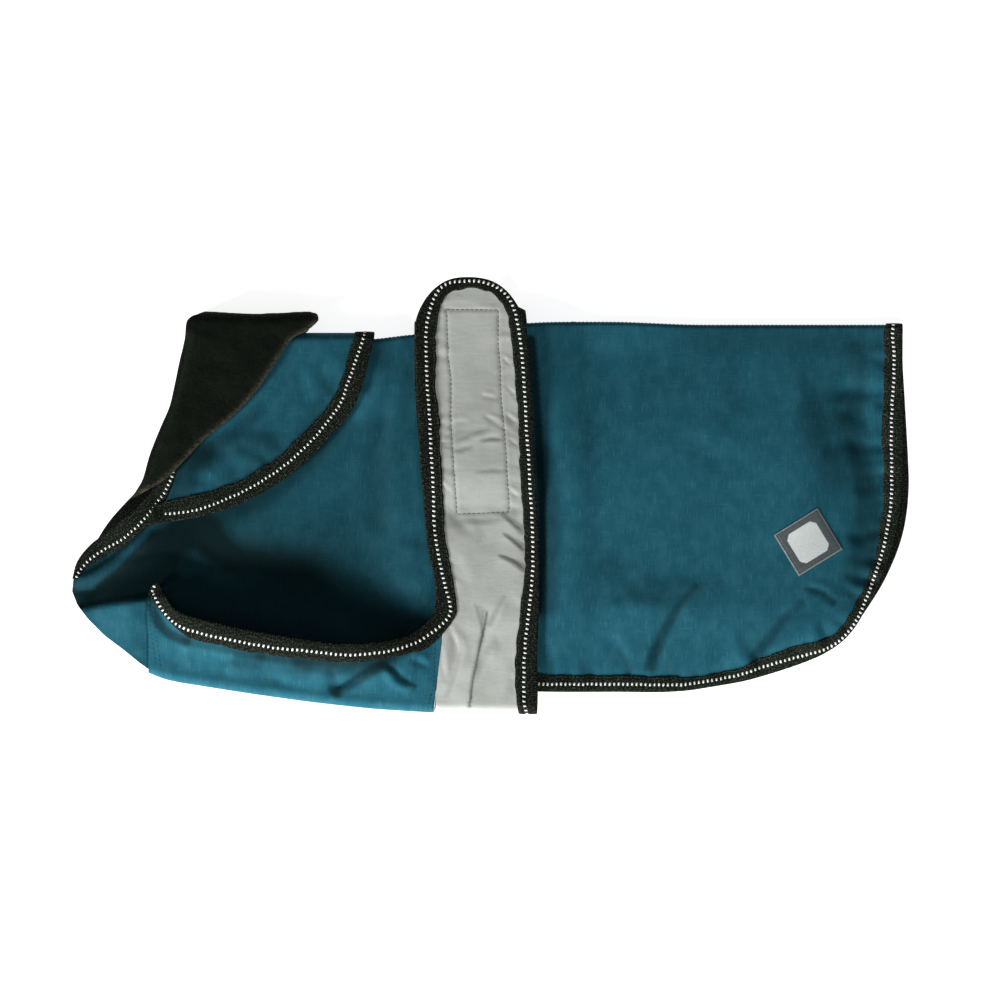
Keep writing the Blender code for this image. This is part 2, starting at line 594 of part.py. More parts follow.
# Fleece collar, turned out over the shell collar.
flap = Fold(lambda x: FLEECE_FOLD_Y, near_flap, far_flap, 1.0)
flap_edge = laid(flap, FLEECE_EDGE, 1)
flap_edge_far = laid(flap, FLEECE_EDGE, -1)
flap_hem = laid(flap, FLEECE_HEM, 1)
flap_hem_far = laid(flap, FLEECE_HEM, -1)
flap_sheet = Sheet(flap.place, [
    ("hem", rounded(flap_hem + [(-129.5, 6.0), (-129.0, 0.0), (-129.5, -6.0)] + flap_hem_far[::-1]), 0),
    ("edge", rounded([flap_hem_far[0]] + flap_edge_far[::-1] + [(-221.0, 0.0)] + flap_edge + [flap_hem[0]]), EDGE_TURN_WIDTH + 1.0),
], FLEECE, spacing=19.0, rows=(0.0, 6.5, -6.5, 13.0, -13.0), fold_step=5.0)
flap_sheet.solid("fleece_collar", NAP)

# The fleece inside the neck.
inner = Fold(
    lambda x: NECK_FOLD_Y,
    lambda x, y: near_back(x, y) - FLEECE_INSET,
    lambda x, y: far_back(x, y) + FLEECE_INSET,
    1.0,
)
inner_near = laid(inner, INNER_NEAR, 1)
inner_far = laid(inner, INNER_FAR, -1)
inner_sheet = Sheet(inner.place, [
    ("near", inner_near, 0),
    ("rear_fold", [inner_near[-1], (-179.0, 0.0), inner_far[0]], 0),
    ("far", inner_far, 0),
    ("front_fold", [inner_far[-1], (-217.5, 0.0), inner_near[0]], 0),
], FLEECE, spacing=19.0, rows=(0.0, 2.6, -2.6), fold_step=1.8)
inner_sheet.solid("fleece_neck", NAP)


def label_solid():
    """A plain patch on the near half, made from points of the panel moved out."""
    cells = 3
    grid = []
    for j in range(cells + 1):
        for i in range(cells + 1):
            u = (i / cells - 0.5) * LABEL_SIDES[0]
            v = (j / cells - 0.5) * LABEL_SIDES[1]
            x = LABEL_MIDDLE[0] + u * math.cos(LABEL_TURN) - v * math.sin(LABEL_TURN)
            y = LABEL_MIDDLE[1] + u * math.sin(LABEL_TURN) + v * math.cos(LABEL_TURN)
            grid.append((x, y, near_back(x, y)))
    low = SHELL / 2 + LABEL_GAP + 0.25
    w = cells + 1
    points = [(x, y, z + low + LABEL) for x, y, z in grid] + [(x, y, z + low) for x, y, z in grid]
    n = len(grid)
    faces = []
    for j in range(cells):
        for i in range(cells):
            a, b, c, d = j * w + i, j * w + i + 1, (j + 1) * w + i + 1, (j + 1) * w + i
            faces += [(a, b, c), (a, c, d), (n + a, n + c, n + b), (n + a, n + d, n + c)]
    rim = [i for i in range(w)] + [j * w + cells for j in range(1, w)] + [cells * w + i for i in range(cells - 1, -1, -1)] + [j * w for j in range(cells - 1, 0, -1)]
    for a, b in zip(rim, rim[1:] + rim[:1]):
        faces += [(a, n + a, b), (b, n + a, n + b)]
    return make("label", points, faces, PATCH)


label_solid()
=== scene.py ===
"""Dog winter coat, folded flat along its spine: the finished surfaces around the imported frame.

Millimetres in the tables and functions, metres in the meshes. +X runs from the neck to the tail, +Y from
the belly to the spine, +Z up. Every cloth piece is a thin shell laid out in pattern coordinates (x, s): s is
the distance from its fold line, positive on the near (upper) half and negative on the far one.
"""

import math

import bpy
import numpy as np
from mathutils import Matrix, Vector
from mathutils.geometry import delaunay_2d_cdt

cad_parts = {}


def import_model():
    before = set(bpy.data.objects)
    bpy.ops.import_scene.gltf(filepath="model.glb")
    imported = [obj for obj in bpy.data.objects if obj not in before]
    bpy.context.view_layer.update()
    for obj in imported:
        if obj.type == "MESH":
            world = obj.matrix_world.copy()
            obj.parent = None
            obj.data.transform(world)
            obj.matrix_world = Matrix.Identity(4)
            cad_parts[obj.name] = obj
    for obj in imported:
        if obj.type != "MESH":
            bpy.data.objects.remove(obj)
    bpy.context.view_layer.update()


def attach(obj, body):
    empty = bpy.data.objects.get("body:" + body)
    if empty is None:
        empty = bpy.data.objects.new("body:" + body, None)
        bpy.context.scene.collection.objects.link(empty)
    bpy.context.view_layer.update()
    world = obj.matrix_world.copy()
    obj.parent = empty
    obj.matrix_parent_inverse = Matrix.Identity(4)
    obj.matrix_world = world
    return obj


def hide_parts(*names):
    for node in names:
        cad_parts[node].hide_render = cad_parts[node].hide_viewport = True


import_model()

MM = 0.001
CENTRE = (-0.75, 1.35)  # the frame's own shift of the tables below

# ---------------------------------------------------------------- sizes, as the frame's solids have them
SHELL, STRAP, FLEECE = 1.0, 1.0, 2.0
FAR_FLOOR = 0.6
FAR_OVER = 5.7
RIM_LIFT = 1.25
BODY_GAP, NECK_GAP, FRONT_GAP = 5.0, 8.3, 1.7
BELLY_LIFT, TAIL_LIFT = 3.3, 3.3
COLLAR_LIFT, FLAP_LIFT = 2.9, 4.9
FLEECE_INSET = 2.35
MOUTH_RISE = 15.0
POCKET_DIP = 4.0
CROWN = 8.5

SPINE = {"x": (-235, -88, -66, -22, 27, 50, 100, 152, 318), "y": (117.4, 117.4, 120.6, 124.3, 130, 131, 131.1, 128.8, 128.8)}
BELLY = {"x": (-264, -258, -250, -228, -182, -136, -91, -45, 39), "y": (-131, -135.7, -140.2, -143.6, -150.9, -157.3, -162.3, -165.3, -165.7)}
COLLAR_FOLD_Y, FLEECE_FOLD_Y, NECK_FOLD_Y, WING_FOLD_Y = 122.4, 138.0, 111.5, 141.5

NECK_EDGE = ((-219, 116), (-226, 98.4), (-231.4, 75.6), (-236, 60.4), (-241.3, 41.4), (-245.1, 23.9), (-248.9, 12.5), (-256.5, 0.4), (-265.6, -9.5), (-276.3, -18.6), (-289.9, -29.3), (-302.9, -39.1), (-312.5, -51.3), (-316, -64))
NECK_EDGE_FAR = ((-219, 116), (-226, 98.4), (-231.4, 75.6), (-236, 60.4), (-241.3, 41.4), (-250.4, 24.7), (-263.3, 6.5), (-275.5, -6.5), (-287.7, -20.1), (-296, -32.3), (-302.1, -43.7), (-309.7, -55.9), (-315.5, -67))
FRONT_SEAM = ((-317.3, -74.1), (-313.5, -84), (-305.1, -94.6), (-293, -106.8), (-277.8, -118.2), (-266.5, -127.5), (-259.5, -132.5), (-250.4, -133.5))
HEM = ((-208.6, -131.5), (-159.2, -137.9), (-98.4, -144.8), (-39.9, -147.8), (8, -148.6), (53.6, -149), (114.4, -149.3), (144.8, -148.6), (167.6, -145.5), (191.1, -141.4), (208.6, -136.8), (232.2, -129.2), (250, -122), (264.9, -113), (276, -101.5), (286.1, -84.5), (295.5, -65), (303.6, -42.2), (309, -20), (312, 3), (312.7, 30), (312.7, 71.8))
HEM_FAR = ((-208.6, -131.5), (-159.2, -137.9), (-98.4, -144.8), (-39.9, -147.6), (8, -148.3), (53.6, -148.6), (114.4, -149), (144.8, -147.8), (167.6, -144.8), (191.1, -140.2), (208.6, -135.7), (232.2, -128.1), (250, -121), (264.9, -112.1), (278, -98), (289.2, -82), (300, -64), (310, -41), (315.5, -20), (317.9, 3), (317.6, 25), (314.8, 75))
HEM_BOUND_FROM_X = -235.0
CHEST_LAP = ((-259.2, -127), (-258.8, -110.6), (-260.0, -92), (-260.0, -80), (-257.0, -70.5))
CHEST_EDGE = ((-251.0, -67.5), (-247.0, -75.5), (-242.5, -83), (-234.5, -90), (-221, -94.5), (-200.3, -99.2), (-174.4, -104.5), (-144, -109.8), (-112, -113.6), (-84, -112.1), (-64.2, -108.3), (-51.5, -101.5), (-42.5, -91.5), (-39.6, -79))
STRAP_LEFT = ((-41.5, -60), (-45.2, -44.5), (-47.5, -24.7), (-49.3, -1.1), (-51.3, 17.9), (-52.6, 45.2), (-54.3, 87), (-55.7, 115))
STRAP_TOP = ((-55, 131), (-49.5, 145), (-40.5, 156), (-29, 162.6), (-14, 164), (0, 161.6), (11, 155), (19.5, 144.5))
STRAP_RIGHT = ((25.8, 131.1), (28.5, 113.6), (30.8, 87), (32, 56.6), (33.4, 26.2), (35, -4.2), (36.9, -49.8), (36.6, -85), (35.3, -120), (35, -150))
WING_TAIL_Y = 28.0
SEAM_X = {"y": (-166, -130, -113, -100), "x": (-42.3, -38.6, -36.4, -36.0)}
COLLAR_EDGE = ((-93.9, 96.9), (-99.2, 77.9), (-107.5, 61.2), (-122, 44.5), (-138.7, 27), (-156.9, 12.5), (-180.5, -1.9), (-202.5, -11), (-226, -17.1), (-251.5, -21.3), (-258.5, -22.4))
COLLAR_NECK = ((-248.5, -10), (-243, 1), (-238.2, 14), (-235, 30), (-231.5, 46), (-227.5, 62), (-222, 80), (-217, 98.4), (-212.5, 114))
FLEECE_EDGE = ((-231.2, 118), (-235.2, 100.7), (-239, 82.5), (-242.8, 66.5), (-249.7, 50.5), (-257.5, 30.8), (-263, 12), (-268, 3))
FLEECE_HEM = ((-272, -3.0), (-262, 2.0), (-246, 11.5), (-231.5, 25.5), (-217, 41), (-200.3, 54.3), (-187.3, 66.5), (-175, 81), (-164.5, 96), (-156.5, 109), (-149, 118.5), (-138, 124.5))
INNER_NEAR = ((-221.5, 108), (-229, 83), (-235.5, 62), (-240, 45), (-228, 30), (-205, 48), (-188, 78), (-180, 112))
INNER_FAR = ((-180, 112), (-188, 70), (-210, 25), (-228, -5), (-250, -29), (-268, -46), (-281, -50), (-283, -41), (-275, -29), (-264, -17), (-251, -3), (-238, 16), (-233, 40), (-228, 60), (-224, 84), (-218, 108))
LABEL_MIDDLE, LABEL_SIDES, LABEL_TURN = (242.0, -36.3), (39.5, 37.0), math.radians(31.5)

# Where each binding's inner edge and its ladder of blocks run on the near half.
COLLAR_INNER = ((-103, 120.5), (-108.3, 99.2), (-115.1, 82.5), (-128.1, 64.2), (-144, 45.2), (-163.8, 28.5), (-182, 17.1), (-200.3, 7.2), (-220, 1.1), (-239.8, -1.9))
COLLAR_LADDER = ((-95.4, 119.7), (-98.4, 109.8), (-103.7, 95.4), (-108.3, 82.5), (-112.9, 68.8), (-120.5, 58.9), (-129.6, 46.7), (-140.2, 36.1), (-150.9, 26.2), (-163.8, 16.3), (-176.7, 8), (-189.6, 1.1), (-207.1, -6.5), (-222.3, -11.8), (-238.3, -14.1), (-249.7, -15.6))
NECK_INNER = ((-238, 14), (-244, -1), (-254.2, -21.7), (-272.5, -36.1), (-302.1, -54.3), (-312, -60.4))
NECK_LADDER = ((-240.5, 13.3), (-244.3, 5.7), (-249.7, -3.4), (-255, -8.7), (-259.5, -15.6), (-264.1, -20.9), (-269.4, -26.2), (-276.3, -32.3), (-283.9, -36.9), (-290.7, -40.7), (-297.5, -44.5), (-304.4, -49.8), (-309.7, -55.1), (-312, -61.2))
BELLY_INNER = ((-248.1, -89.3), (-241.3, -101.5), (-227.6, -111.3), (-200.3, -116.7), (-174.4, -119.7), (-151.6, -122.7), (-128.8, -125), (-109.8, -126.5), (-94.6, -125.8), (-79.4, -124.3), (-60.4, -121.2), (-49, -118.2), (-36.9, -106), (-27.7, -99.2), (-23.9, -92.3), (-23.9, -87), (-28.5, -59.7), (-33.8, -32.3), (-35, -9.5), (-36.1, 17.9), (-37.6, 51.3), (-38.4, 58.1), (-40.7, 85.5), (-41.4, 116.7), (-38.4, 137.2), (-31.5, 153.1), (-21.7, 155.4), (-14.1, 156.9), (-4.2, 155.4), (4.9, 150.9), (11.8, 141.7), (14.8, 131.1), (17.9, 109.8), (20.1, 81.7), (21.7, 51.3), (23.2, 17.9), (24.7, -1.1), (27, -32.3), (26.2, -66.5), (24.7, -80.2), (21.7, -103), (19.4, -125.8), (19.4, -156.2), (20.1, -163.8))
BELLY_LADDER = ((-254.2, -70.3), (-253.5, -76.4), (-251.2, -82.5), (-248.9, -89.3), (-244.3, -96.9), (-236, -99.9), (-229.1, -100.7), (-217.7, -105), (-206.3, -107.5), (-193.4, -109.8), (-166.8, -115.1), (-142.5, -117.4), (-107.5, -121.2), (-78.7, -118.9), (-70.3, -117), (-61.9, -114.4), (-52.8, -110.6), (-45.2, -105.3), (-36.9, -99.2), (-29.3, -93.1), (-27.7, -89.3), (-28.5, -87), (-30, -84), (-31.5, -77.1), (-33.1, -71.1), (-35, -64.2), (-37.6, -51.3), (-40.7, -34.6), (-42.2, -20.9), (-42.2, -4.2), (-42.9, 14.1), (-44.5, 33.8), (-45.2, 52.1), (-47.5, 85.5), (-48.3, 108.3), (-48.3, 126.5), (-45.2, 139.5), (-42.2, 148.6), (-37.6, 156.9), (-31.5, 160.7), (-25.5, 161.5), (-18.6, 161.5), (-11, 162.3), (-4.9, 161.5), (1.9, 158.5), (7.2, 156.9), (11.8, 153.1), (16.3, 147.1), (18.6, 141), (21.7, 128.8), (23.9, 114.4), (25.5, 98.4), (26.2, 84.7), (27.7, 64.2), (27.7, 51.3), (30, 27.7), (30.8, 4.9), (32.3, -13.3), (33.1, -36.1), (33.1, -55.9), (32.3, -67.3), (31.2, -80.9), (30, -87.8), (28.9, -97.7), (27.7, -108.3), (27, -118.2), (26.2, -129.6), (26.2, -160))
HEM_INNER = ((299.1, 117.4), (300.6, 102.2), (299.1, 79.4), (298.3, 49), (299.8, -4.9), (296.8, -23.9), (294.5, -42.2), (290.7, -58.1), (286.1, -71.1), (280.8, -81.7), (275.5, -92.3), (267.1, -103), (254.2, -109.8), (232.9, -115.1), (211.7, -121.2), (190.4, -131.9), (182.8, -133.8), (168.0, -137.0), (152.8, -139.4), (137.5, -137.4), (122.0, -138.8), (107.0, -136.8), (90.0, -137.8), (61.0, -137.8), (36.1, -137.4))
HEM_LADDER = ((305.9, 123.5), (307, 115.9), (307.8, 98.4), (307.4, 87), (306.3, 71.8), (305.5, 56.6), (305.5, 33.8), (305.9, 8), (305.1, -8), (302.9, -23.9), (299.1, -42.2), (295.3, -54.3), (290.7, -68), (285.4, -80.9), (280.8, -91.6), (275.5, -102.2), (269.4, -109.8), (261.1, -115.1), (248.9, -118.9), (236, -122.7), (221.5, -126.5), (207.1, -131.1), (191.9, -136.4), (175.9, -140.2), (145.5, -144.8), (104.5, -144), (64.2, -144), (36.1, -144))
HOOK_PATCH = ((-33.4, 140.2), (6.5, 139.9), (6.5, 113.6), (8, 96.9), (8.7, 73.3), (11, 51.3), (12.5, 33.8), (13.3, 14.1), (14.8, -4.9), (14.8, -13.3), (-23.2, -14.8), (-24.7, -14.8), (-26.2, 6.5), (-27.7, 29.3), (-29.3, 55.1), (-29.3, 89.3), (-31.5, 104.5), (-32.3, 135.7), (-33.4, 140.2))

TAPE = 0.75
TAPE_WIDTH = 13.0
LADDER_PITCH = 3.4

# ---------------------------------------------------------------- creases
# path on the near half, depth (down is negative), half width, height of the soft ridge beside it (left of
# the path's direction when positive, right when negative)
BACK_CREASES = (
    (((157, -68), (148, -79), (139, -94), (130, -112), (120, -133)), -3.6, 5.0, 1.2),
    (((178, -62), (166, -76), (156, -92), (148, -108)), 1.4, 8.0, 0.0),
    (((112, -56), (106, -70), (92, -84)), -1.5, 8.0, 0.6),
    (((236, -82), (225, -94), (212, -110), (199, -127)), -3.2, 5.0, 1.2),
    (((238, -70), (246, -72), (254, -75), (261, -83)), -1.0, 2.6, 0.5),
    (((276, -58), (268, -82), (252, -104), (232, -124)), 3.6, 14.0, 0.0),
    (((222, 100), (240, 70), (252, 30), (262, -4)), 1.6, 13.0, 0.0),
    (((268, 110), (272, 84), (276, 56)), -1.4, 10.0, 0.5),
    (((-88, 104), (-96, 74), (-112, 52), (-134, 30), (-158, 10), (-182, -6), (-206, -18)), -2.6, 13.0, 0.0),
    (((184, -100), (178, -112), (168, -128)), -1.0, 6.0, 0.6),
    (((90, -104), (96, -116), (100, -132)), -1.0, 6.0, 0.6),
    (((299, 84), (288, 78), (272, 80), (256, 70)), -1.5, 6.5, 0.9),
    (((298, 44), (286, 36), (268, 40), (250, 28)), -1.2, 7.0, -0.7),
    (((298, 12), (288, 4), (276, 8)), -1.1, 5.0, 0.7),
    (((296, -24), (284, -32), (270, -28)), -1.3, 5.5, 0.8),
    (((92, 120), (96, 90), (91, 60)), -0.3, 9.0, 0.2),
    (((150, 36), (172, 30), (192, 36)), -0.9, 12.0, 0.8),
    (((196, 118), (190, 84), (197, 52)), -0.7, 10.0, -0.4),
    (((52, 10), (60, -22), (54, -54)), -0.4, 9.0, -0.2),
    (((-84, 52), (-86, 22), (-84, -16), (-78, -42)), -1.2, 9.0, 0.8),
    (((-92, 84), (-98, 70), (-96, 54)), 1.5, 9.0, 0.0),
    (((-60, 112), (-58, 80), (-62, 44)), -0.8, 7.0, 0.5),
    (((-92, 30), (-118, -4), (-152, -26)), -0.9, 11.0, 0.5),
    (((-58, -30), (-62, -56), (-66, -76)), 2.0, 11.0, 0.0),
    (((-345, -82), (-312, -66), (-288, -56), (-269, -41), (-250, -25), (-238, -12)), 3.4, 5.0, 0.0),
    (((-345, -88), (-312, -80), (-290, -72), (-262, -58), (-240, -48)), -3.6, 8.5, 0.0),
)
# path, height of the side to its left, half width of the step, how far the raised side takes to level out
FRONT_STEPS = (
    (((-206, -74), (-236, -74), (-262, -78), (-290, -82), (-314, -88), (-346, -97)), 4.2, 1.8, 26.0),
)
CHEST_CREASES = (
    (((-94, -128), (-101, -135), (-110, -143), (-122, -150)), -1.9, 3.0, 1.0),
    (((-104, -128), (-114, -132), (-124, -140)), -1.2, 3.2, 0.8),
    (((-76, -126), (-73, -133), (-67, -140), (-56, -145)), -1.9, 2.8, -1.3),
    (((-62, -123), (-52, -128), (-44, -130)), -1.0, 3.0, 0.7),
    (((-228, -116), (-236, -124), (-240, -134)), -1.0, 4.5, 0.6),
    (((-196, -122), (-202, -132), (-198, -142)), -0.9, 5.0, 0.6),
    (((-178, -124), (-168, -136), (-150, -146), (-128, -154)), -1.1, 6.0, 0.9),
    (((-150, -128), (-144, -138), (-136, -144)), -0.8, 4.5, -0.5),
)
CHEST_STEPS = (
    (((-84, -126), (-96, -136), (-108, -145), (-117, -150), (-124, -153)), 2.0, 2.0, 9.0),
    (((-56, -145), (-64, -140), (-73, -134), (-82, -129)), 0.8, 1.6, 8.0),
)
# Painted shade and painted shadow, darkening the cloth's colour where shade falls in creases and hollows and beside
# raised parts: path on the near half, half width at its start and at its end, soft margin and strength. The places were
# measured in the photograph's pixels.
PIXEL = 0.76


def spots(*pairs):
    return tuple(((px - 489.5) * PIXEL, (494.5 - py) * PIXEL) for px, py in pairs)


BACK_SHADES = (
    (spots((696, 586), (683, 600), (672, 618), (660, 642), (650, 667)), 0.4, 2.4, 4.2, 0.52),
    (spots((800, 604), (785, 618), (768, 640), (754, 658)), 1.2, 2.2, 3.8, 0.42),
    (spots((807, 589), (818, 591), (826, 595), (832, 603)), 0.4, 1.4, 2.6, 0.56),
    (spots((619, 650), (624, 660), (629, 671)), 0.4, 1.2, 2.6, 0.34),
    (spots((612, 570), (640, 584), (662, 592), (688, 588)), 6.0, 3.0, 13.0, 0.28),
    (spots((634, 594), (656, 600)), 3.0, 2.0, 6.0, 0.18),
    (spots((764, 600), (772, 606)), 1.5, 1.0, 4.0, 0.10),
    (spots((848, 420), (862, 468), (869, 515), (862, 562)), 2.0, 5.0, 16.0, 0.60),
    (spots((806, 410), (814, 440), (830, 478)), 3.0, 4.0, 14.0, 0.36),
    (spots((852, 448), (858, 470), (868, 486)), 1.0, 2.0, 7.0, 0.30),
    (spots((700, 334), (780, 336), (862, 340)), 2.0, 9.0, 24.0, 0.28),
    (spots((854, 348), (858, 376), (858, 404)), 2.0, 2.0, 10.0, 0.40),
    (spots((544, 456), (548, 500), (548, 560), (545, 606)), 2.0, 2.0, 13.0, 0.52),
    (spots((540, 420), (541, 446), (542, 470)), 0.5, 0.5, 7.0, 0.26),
    (spots((531, 340), (536, 400), (539, 450), (542, 500), (542, 545), (539, 610)), 2.4, 2.0, 2.6, 0.86),
    (spots((378, 428), (381, 470), (377, 524)), 2.0, 3.0, 13.0, 0.26),
    (spots((348, 348), (341, 380), (330, 405)), 0.5, 1.0, 10.0, 0.34),
    (spots((336, 412), (308, 456), (262, 492), (212, 516)), 1.5, 5.0, 12.0, 0.50),
    (spots((84, 575), (110, 559), (129, 542), (147, 523)), 0.6, 1.8, 2.6, 0.80),
    (spots((100, 588), (122, 572), (140, 555), (156, 540)), 2.4, 4.4, 3.6, 0.88),
    (spots((162, 542), (186, 533), (206, 540), (232, 560)), 7.0, 4.0, 8.0, 0.92),
    (spots((126, 590), (148, 578), (166, 566)), 3.0, 6.0, 6.0, 0.62),
    (spots((66, 590), (80, 594), (96, 594)), 1.8, 2.0, 3.4, 0.80),
)
CHEST_SHADES = (
    (spots((328, 672), (332, 682), (335, 691)), 1.0, 3.0, 5.0, 0.34),
    (spots((333, 689), (337, 692)), 2.8, 2.2, 2.6, 0.50),
    (spots((384, 663), (364, 675), (346, 687), (338, 692)), 1.8, 2.0, 4.6, 0.62),
    (spots((381, 664), (393, 671), (404, 679), (415, 686)), 1.8, 0.3, 2.4, 0.62),
    (spots((300, 662), (330, 666), (362, 666), (390, 662)), 2.4, 3.0, 7.0, 0.56),
    (spots((262, 655), (300, 658), (350, 662), (392, 656), (424, 636)), 1.4, 1.6, 6.0, 0.56),
    (spots((148, 592), (156, 616), (168, 632), (188, 641)), 2.2, 1.4, 4.5, 0.72),
    (spots((240, 661), (270, 663), (304, 668)), 3.0, 3.4, 8.0, 0.34),
    (spots((147, 604), (145, 630), (146, 660)), 0.4, 0.4, 3.4, 0.14),
    (spots((188, 641), (230, 649), (262, 655)), 1.2, 1.2, 4.5, 0.44),
    (spots((222, 664), (240, 662), (262, 664)), 0.4, 0.4, 4.0, 0.14),
    (spots((414, 690), (416, 664), (418, 648)), 0.2, 0.2, 2.4, 0.26),
)
COLLAR_SHADES = (
    (spots((262, 410), (232, 434), (204, 454), (176, 476)), 0.4, 3.0, 8.0, 0.36),
    (spots((206, 454), (234, 446), (270, 442)), 3.0, 3.0, 14.0, 0.44),
    (spots((200, 455), (184, 474), (176, 495)), 4.0, 6.0, 14.0, 0.60),
    (spots((326, 392), (306, 430), (270, 462), (226, 482)), 0.6, 2.0, 10.0, 0.32),
)
STRAP_SHADES = (
    (spots((503, 515), (511, 521), (522, 530)), 0.8, 3.0, 1.6, 0.46),
    (spots((504, 534), (513, 540), (523, 547)), 0.4, 2.4, 1.5, 0.48),
    (spots((500, 556.5), (512, 561), (523.5, 568)), 0.6, 2.8, 1.4, 0.54),
    (spots((447, 520), (470, 518), (500, 515), (512, 515)), 3.4, 1.4, 6.0, 0.34),
    (spots((450, 518), (462, 530), (478, 536)), 2.0, 2.2, 6.0, 0.20),
    (spots((483, 637), (479.5, 620), (475.8, 605)), 0.2, 0.8, 1.1, 0.26),
    (spots((483, 637), (481.6, 622), (479.8, 608)), 0.2, 1.6, 1.1, 0.26),
    (spots((483, 637), (483.8, 624), (484.2, 611)), 0.2, 1.6, 1.1, 0.26),
    (spots((484, 630), (486, 620), (487.2, 612)), 0.2, 0.3, 1.0, 0.70),
    (spots((469.5, 706), (473, 680), (478, 655), (483, 630)), 0.05, 0.25, 0.8, 0.66),
    (spots((469, 706), (471, 698)), 0.3, 0.1, 0.9, 0.40),
    (spots((474, 676), (478, 655), (482, 634)), 0.6, 1.4, 2.4, 0.14),
    (spots((504, 597), (497, 610), (490, 624)), 0.4, 1.2, 2.4, 0.26),
    (spots((495, 639), (486, 655), (474, 679)), 0.6, 1.8, 3.0, 0.17),
    (spots((456, 628), (461, 646), (457, 668), (447, 695)), 0.3, 0.6, 2.4, 0.20),
    (spots((450, 640), (449, 662), (446, 680)), 0.6, 0.6, 3.0, 0.10),
    (spots((512, 684), (508, 696)), 1.0, 1.0, 4.0, 0.10),
    (spots((487, 397), (497, 401)), 0.4, 0.8, 1.8, 0.24),
    (spots((485, 417), (500, 423), (517, 430)), 0.4, 1.4, 1.8, 0.32),
    (spots((448, 437), (470, 432), (489, 428)), 0.9, 0.7, 2.4, 0.26),
    (spots((482, 441), (503, 438)), 0.7, 0.9, 2.2, 0.24),
    (spots((454, 452), (471, 447)), 0.7, 0.5, 2.2, 0.20),
    (spots((477, 472), (506, 471)), 0.3, 0.5, 1.8, 0.20),
    (spots((455, 408), (490, 406)), 1.0, 0.6, 4.0, 0.12),
    (spots((511, 395), (517, 402)), 0.2, 0.5, 1.2, 0.26),
    (spots((508, 360), (514, 366)), 0.3, 0.4, 1.2, 0.26),
    (spots((507, 421), (519, 427)), 0.3, 0.6, 1.6, 0.20),
    (spots((508, 434), (519, 444)), 0.3, 0.5, 1.6, 0.20),
    (spots((492, 330), (500, 329)), 0.3, 0.3, 1.6, 0.14),
    (spots((490, 352), (500, 354)), 0.3, 0.3, 1.6, 0.12),
    (spots((487, 384), (499, 386)), 0.3, 0.3, 1.8, 0.14),
    (spots((438, 362), (447, 364)), 0.4, 0.4, 2.0, 0.12),
    (spots((438, 404), (450, 402)), 0.4, 0.4, 2.4, 0.12),
    (spots((440, 425), (451, 421)), 0.3, 0.5, 2.0, 0.16),
    (spots((442, 444), (453, 443)), 0.3, 0.3, 1.4, 0.22),
    (spots((445, 476), (455, 474)), 0.3, 0.3, 1.8, 0.14),
    (spots((447, 507), (455, 513)), 0.3, 0.5, 1.6, 0.22),
)
STRAP_CREASES = (
    (((-30, -8), (-27, -16), (-18, -26), (-10, -32)), -1.1, 4.0, 0.7),
    (((-24, -17.5), (-8, -18.5), (10, -18)), -1.3, 3.4, 0.5),
    (((-33, -98), (-26, -112), (-25, -126), (-33, -146)), -1.5, 3.4, 1.2),
    (((-37, -112), (-36, -128), (-33, -144)), -0.8, 2.4, 0.5),
    (((12, -78), (4, -92), (-4, -108), (-8, -122)), -1.3, 2.6, 0.9),
    (((4, -108), (-4, -122), (-11, -138)), -1.1, 3.0, 1.0),
    (((20, -118), (18, -136), (20, -156)), -0.7, 4.0, 0.4),
    (((-26, -44), (-22, -60), (-14, -74)), -0.8, 5.0, 0.5),
    (((-7, 76), (-1, 73.5), (6, 73)), -0.9, 2.0, 0.7),
    (((-6, 60), (2, 56), (10, 51), (19, 47)), -1.2, 2.2, 0.9),
    (((-30, 40), (-20, 44), (-10, 48), (4, 50)), -1.1, 2.4, -0.8),
    (((-32, 52), (-24, 55), (-14, 54)), -0.6, 2.0, 0.4),
    (((-8, 40), (0, 43), (12, 42)), -1.0, 2.0, -0.7),
    (((-28, 32), (-20, 35), (-12, 37)), -0.8, 2.2, -0.5),
    (((-12, 17), (2, 19), (14, 18)), -0.5, 2.2, -0.4),
    (((-14, 92), (-4, 96), (6, 94)), -0.3, 4.0, 0.2),
    (((9, 105), (13, 101), (18, 97)), -0.9, 1.6, 0.6),
    (((13, 82), (17, 78), (21, 75)), -0.8, 1.5, 0.5),
    (((12, 62), (17, 57), (22, 54)), -0.9, 1.6, 0.6),
    (((13, 44), (18, 40), (23, 36)), -0.8, 1.6, 0.5),
    (((14, 6), (19, 0), (24, -2)), -0.9, 1.6, 0.6),
    (((-38, 10), (-33, 4), (-27, 2)), -0.9, 1.8, 0.6),
)
# Small tucks and a pleat: the side to the left of the path stands up and levels out again.
STRAP_STEPS = (
    (((26, -29), (21, -25), (14, -19), (10, -15)), 1.0, 1.2, 7.0),
    (((27.5, -44), (21, -38), (15, -33), (9, -29)), 1.1, 1.2, 7.0),
    (((27.5, -59), (20, -52), (11, -47.5), (4, -45.5)), 1.2, 1.2, 8.0),
    (((-16, -196), (-16, -178), (-15.4, -160), (-13.4, -141), (-9.4, -122), (-5.4, -104), (-2.4, -91), (-1.8, -86)), 1.3, 0.5, 7.0),
)
COLLAR_CREASES = (
    (((-196, 42), (-176, 30), (-158, 26)), -0.9, 6.0, 0.5),
    (((-150, 98), (-140, 76), (-142, 58)), -0.8, 7.0, 0.5),
    (((-226, 16), (-214, 10), (-204, 12)), -0.7, 5.0, 0.4),
    (((-214, 40), (-196, 24), (-190, 6)), -1.0, 8.0, 0.6),
    (((-122, 112), (-126, 96), (-120, 80)), -0.6, 6.0, 0.4),
)
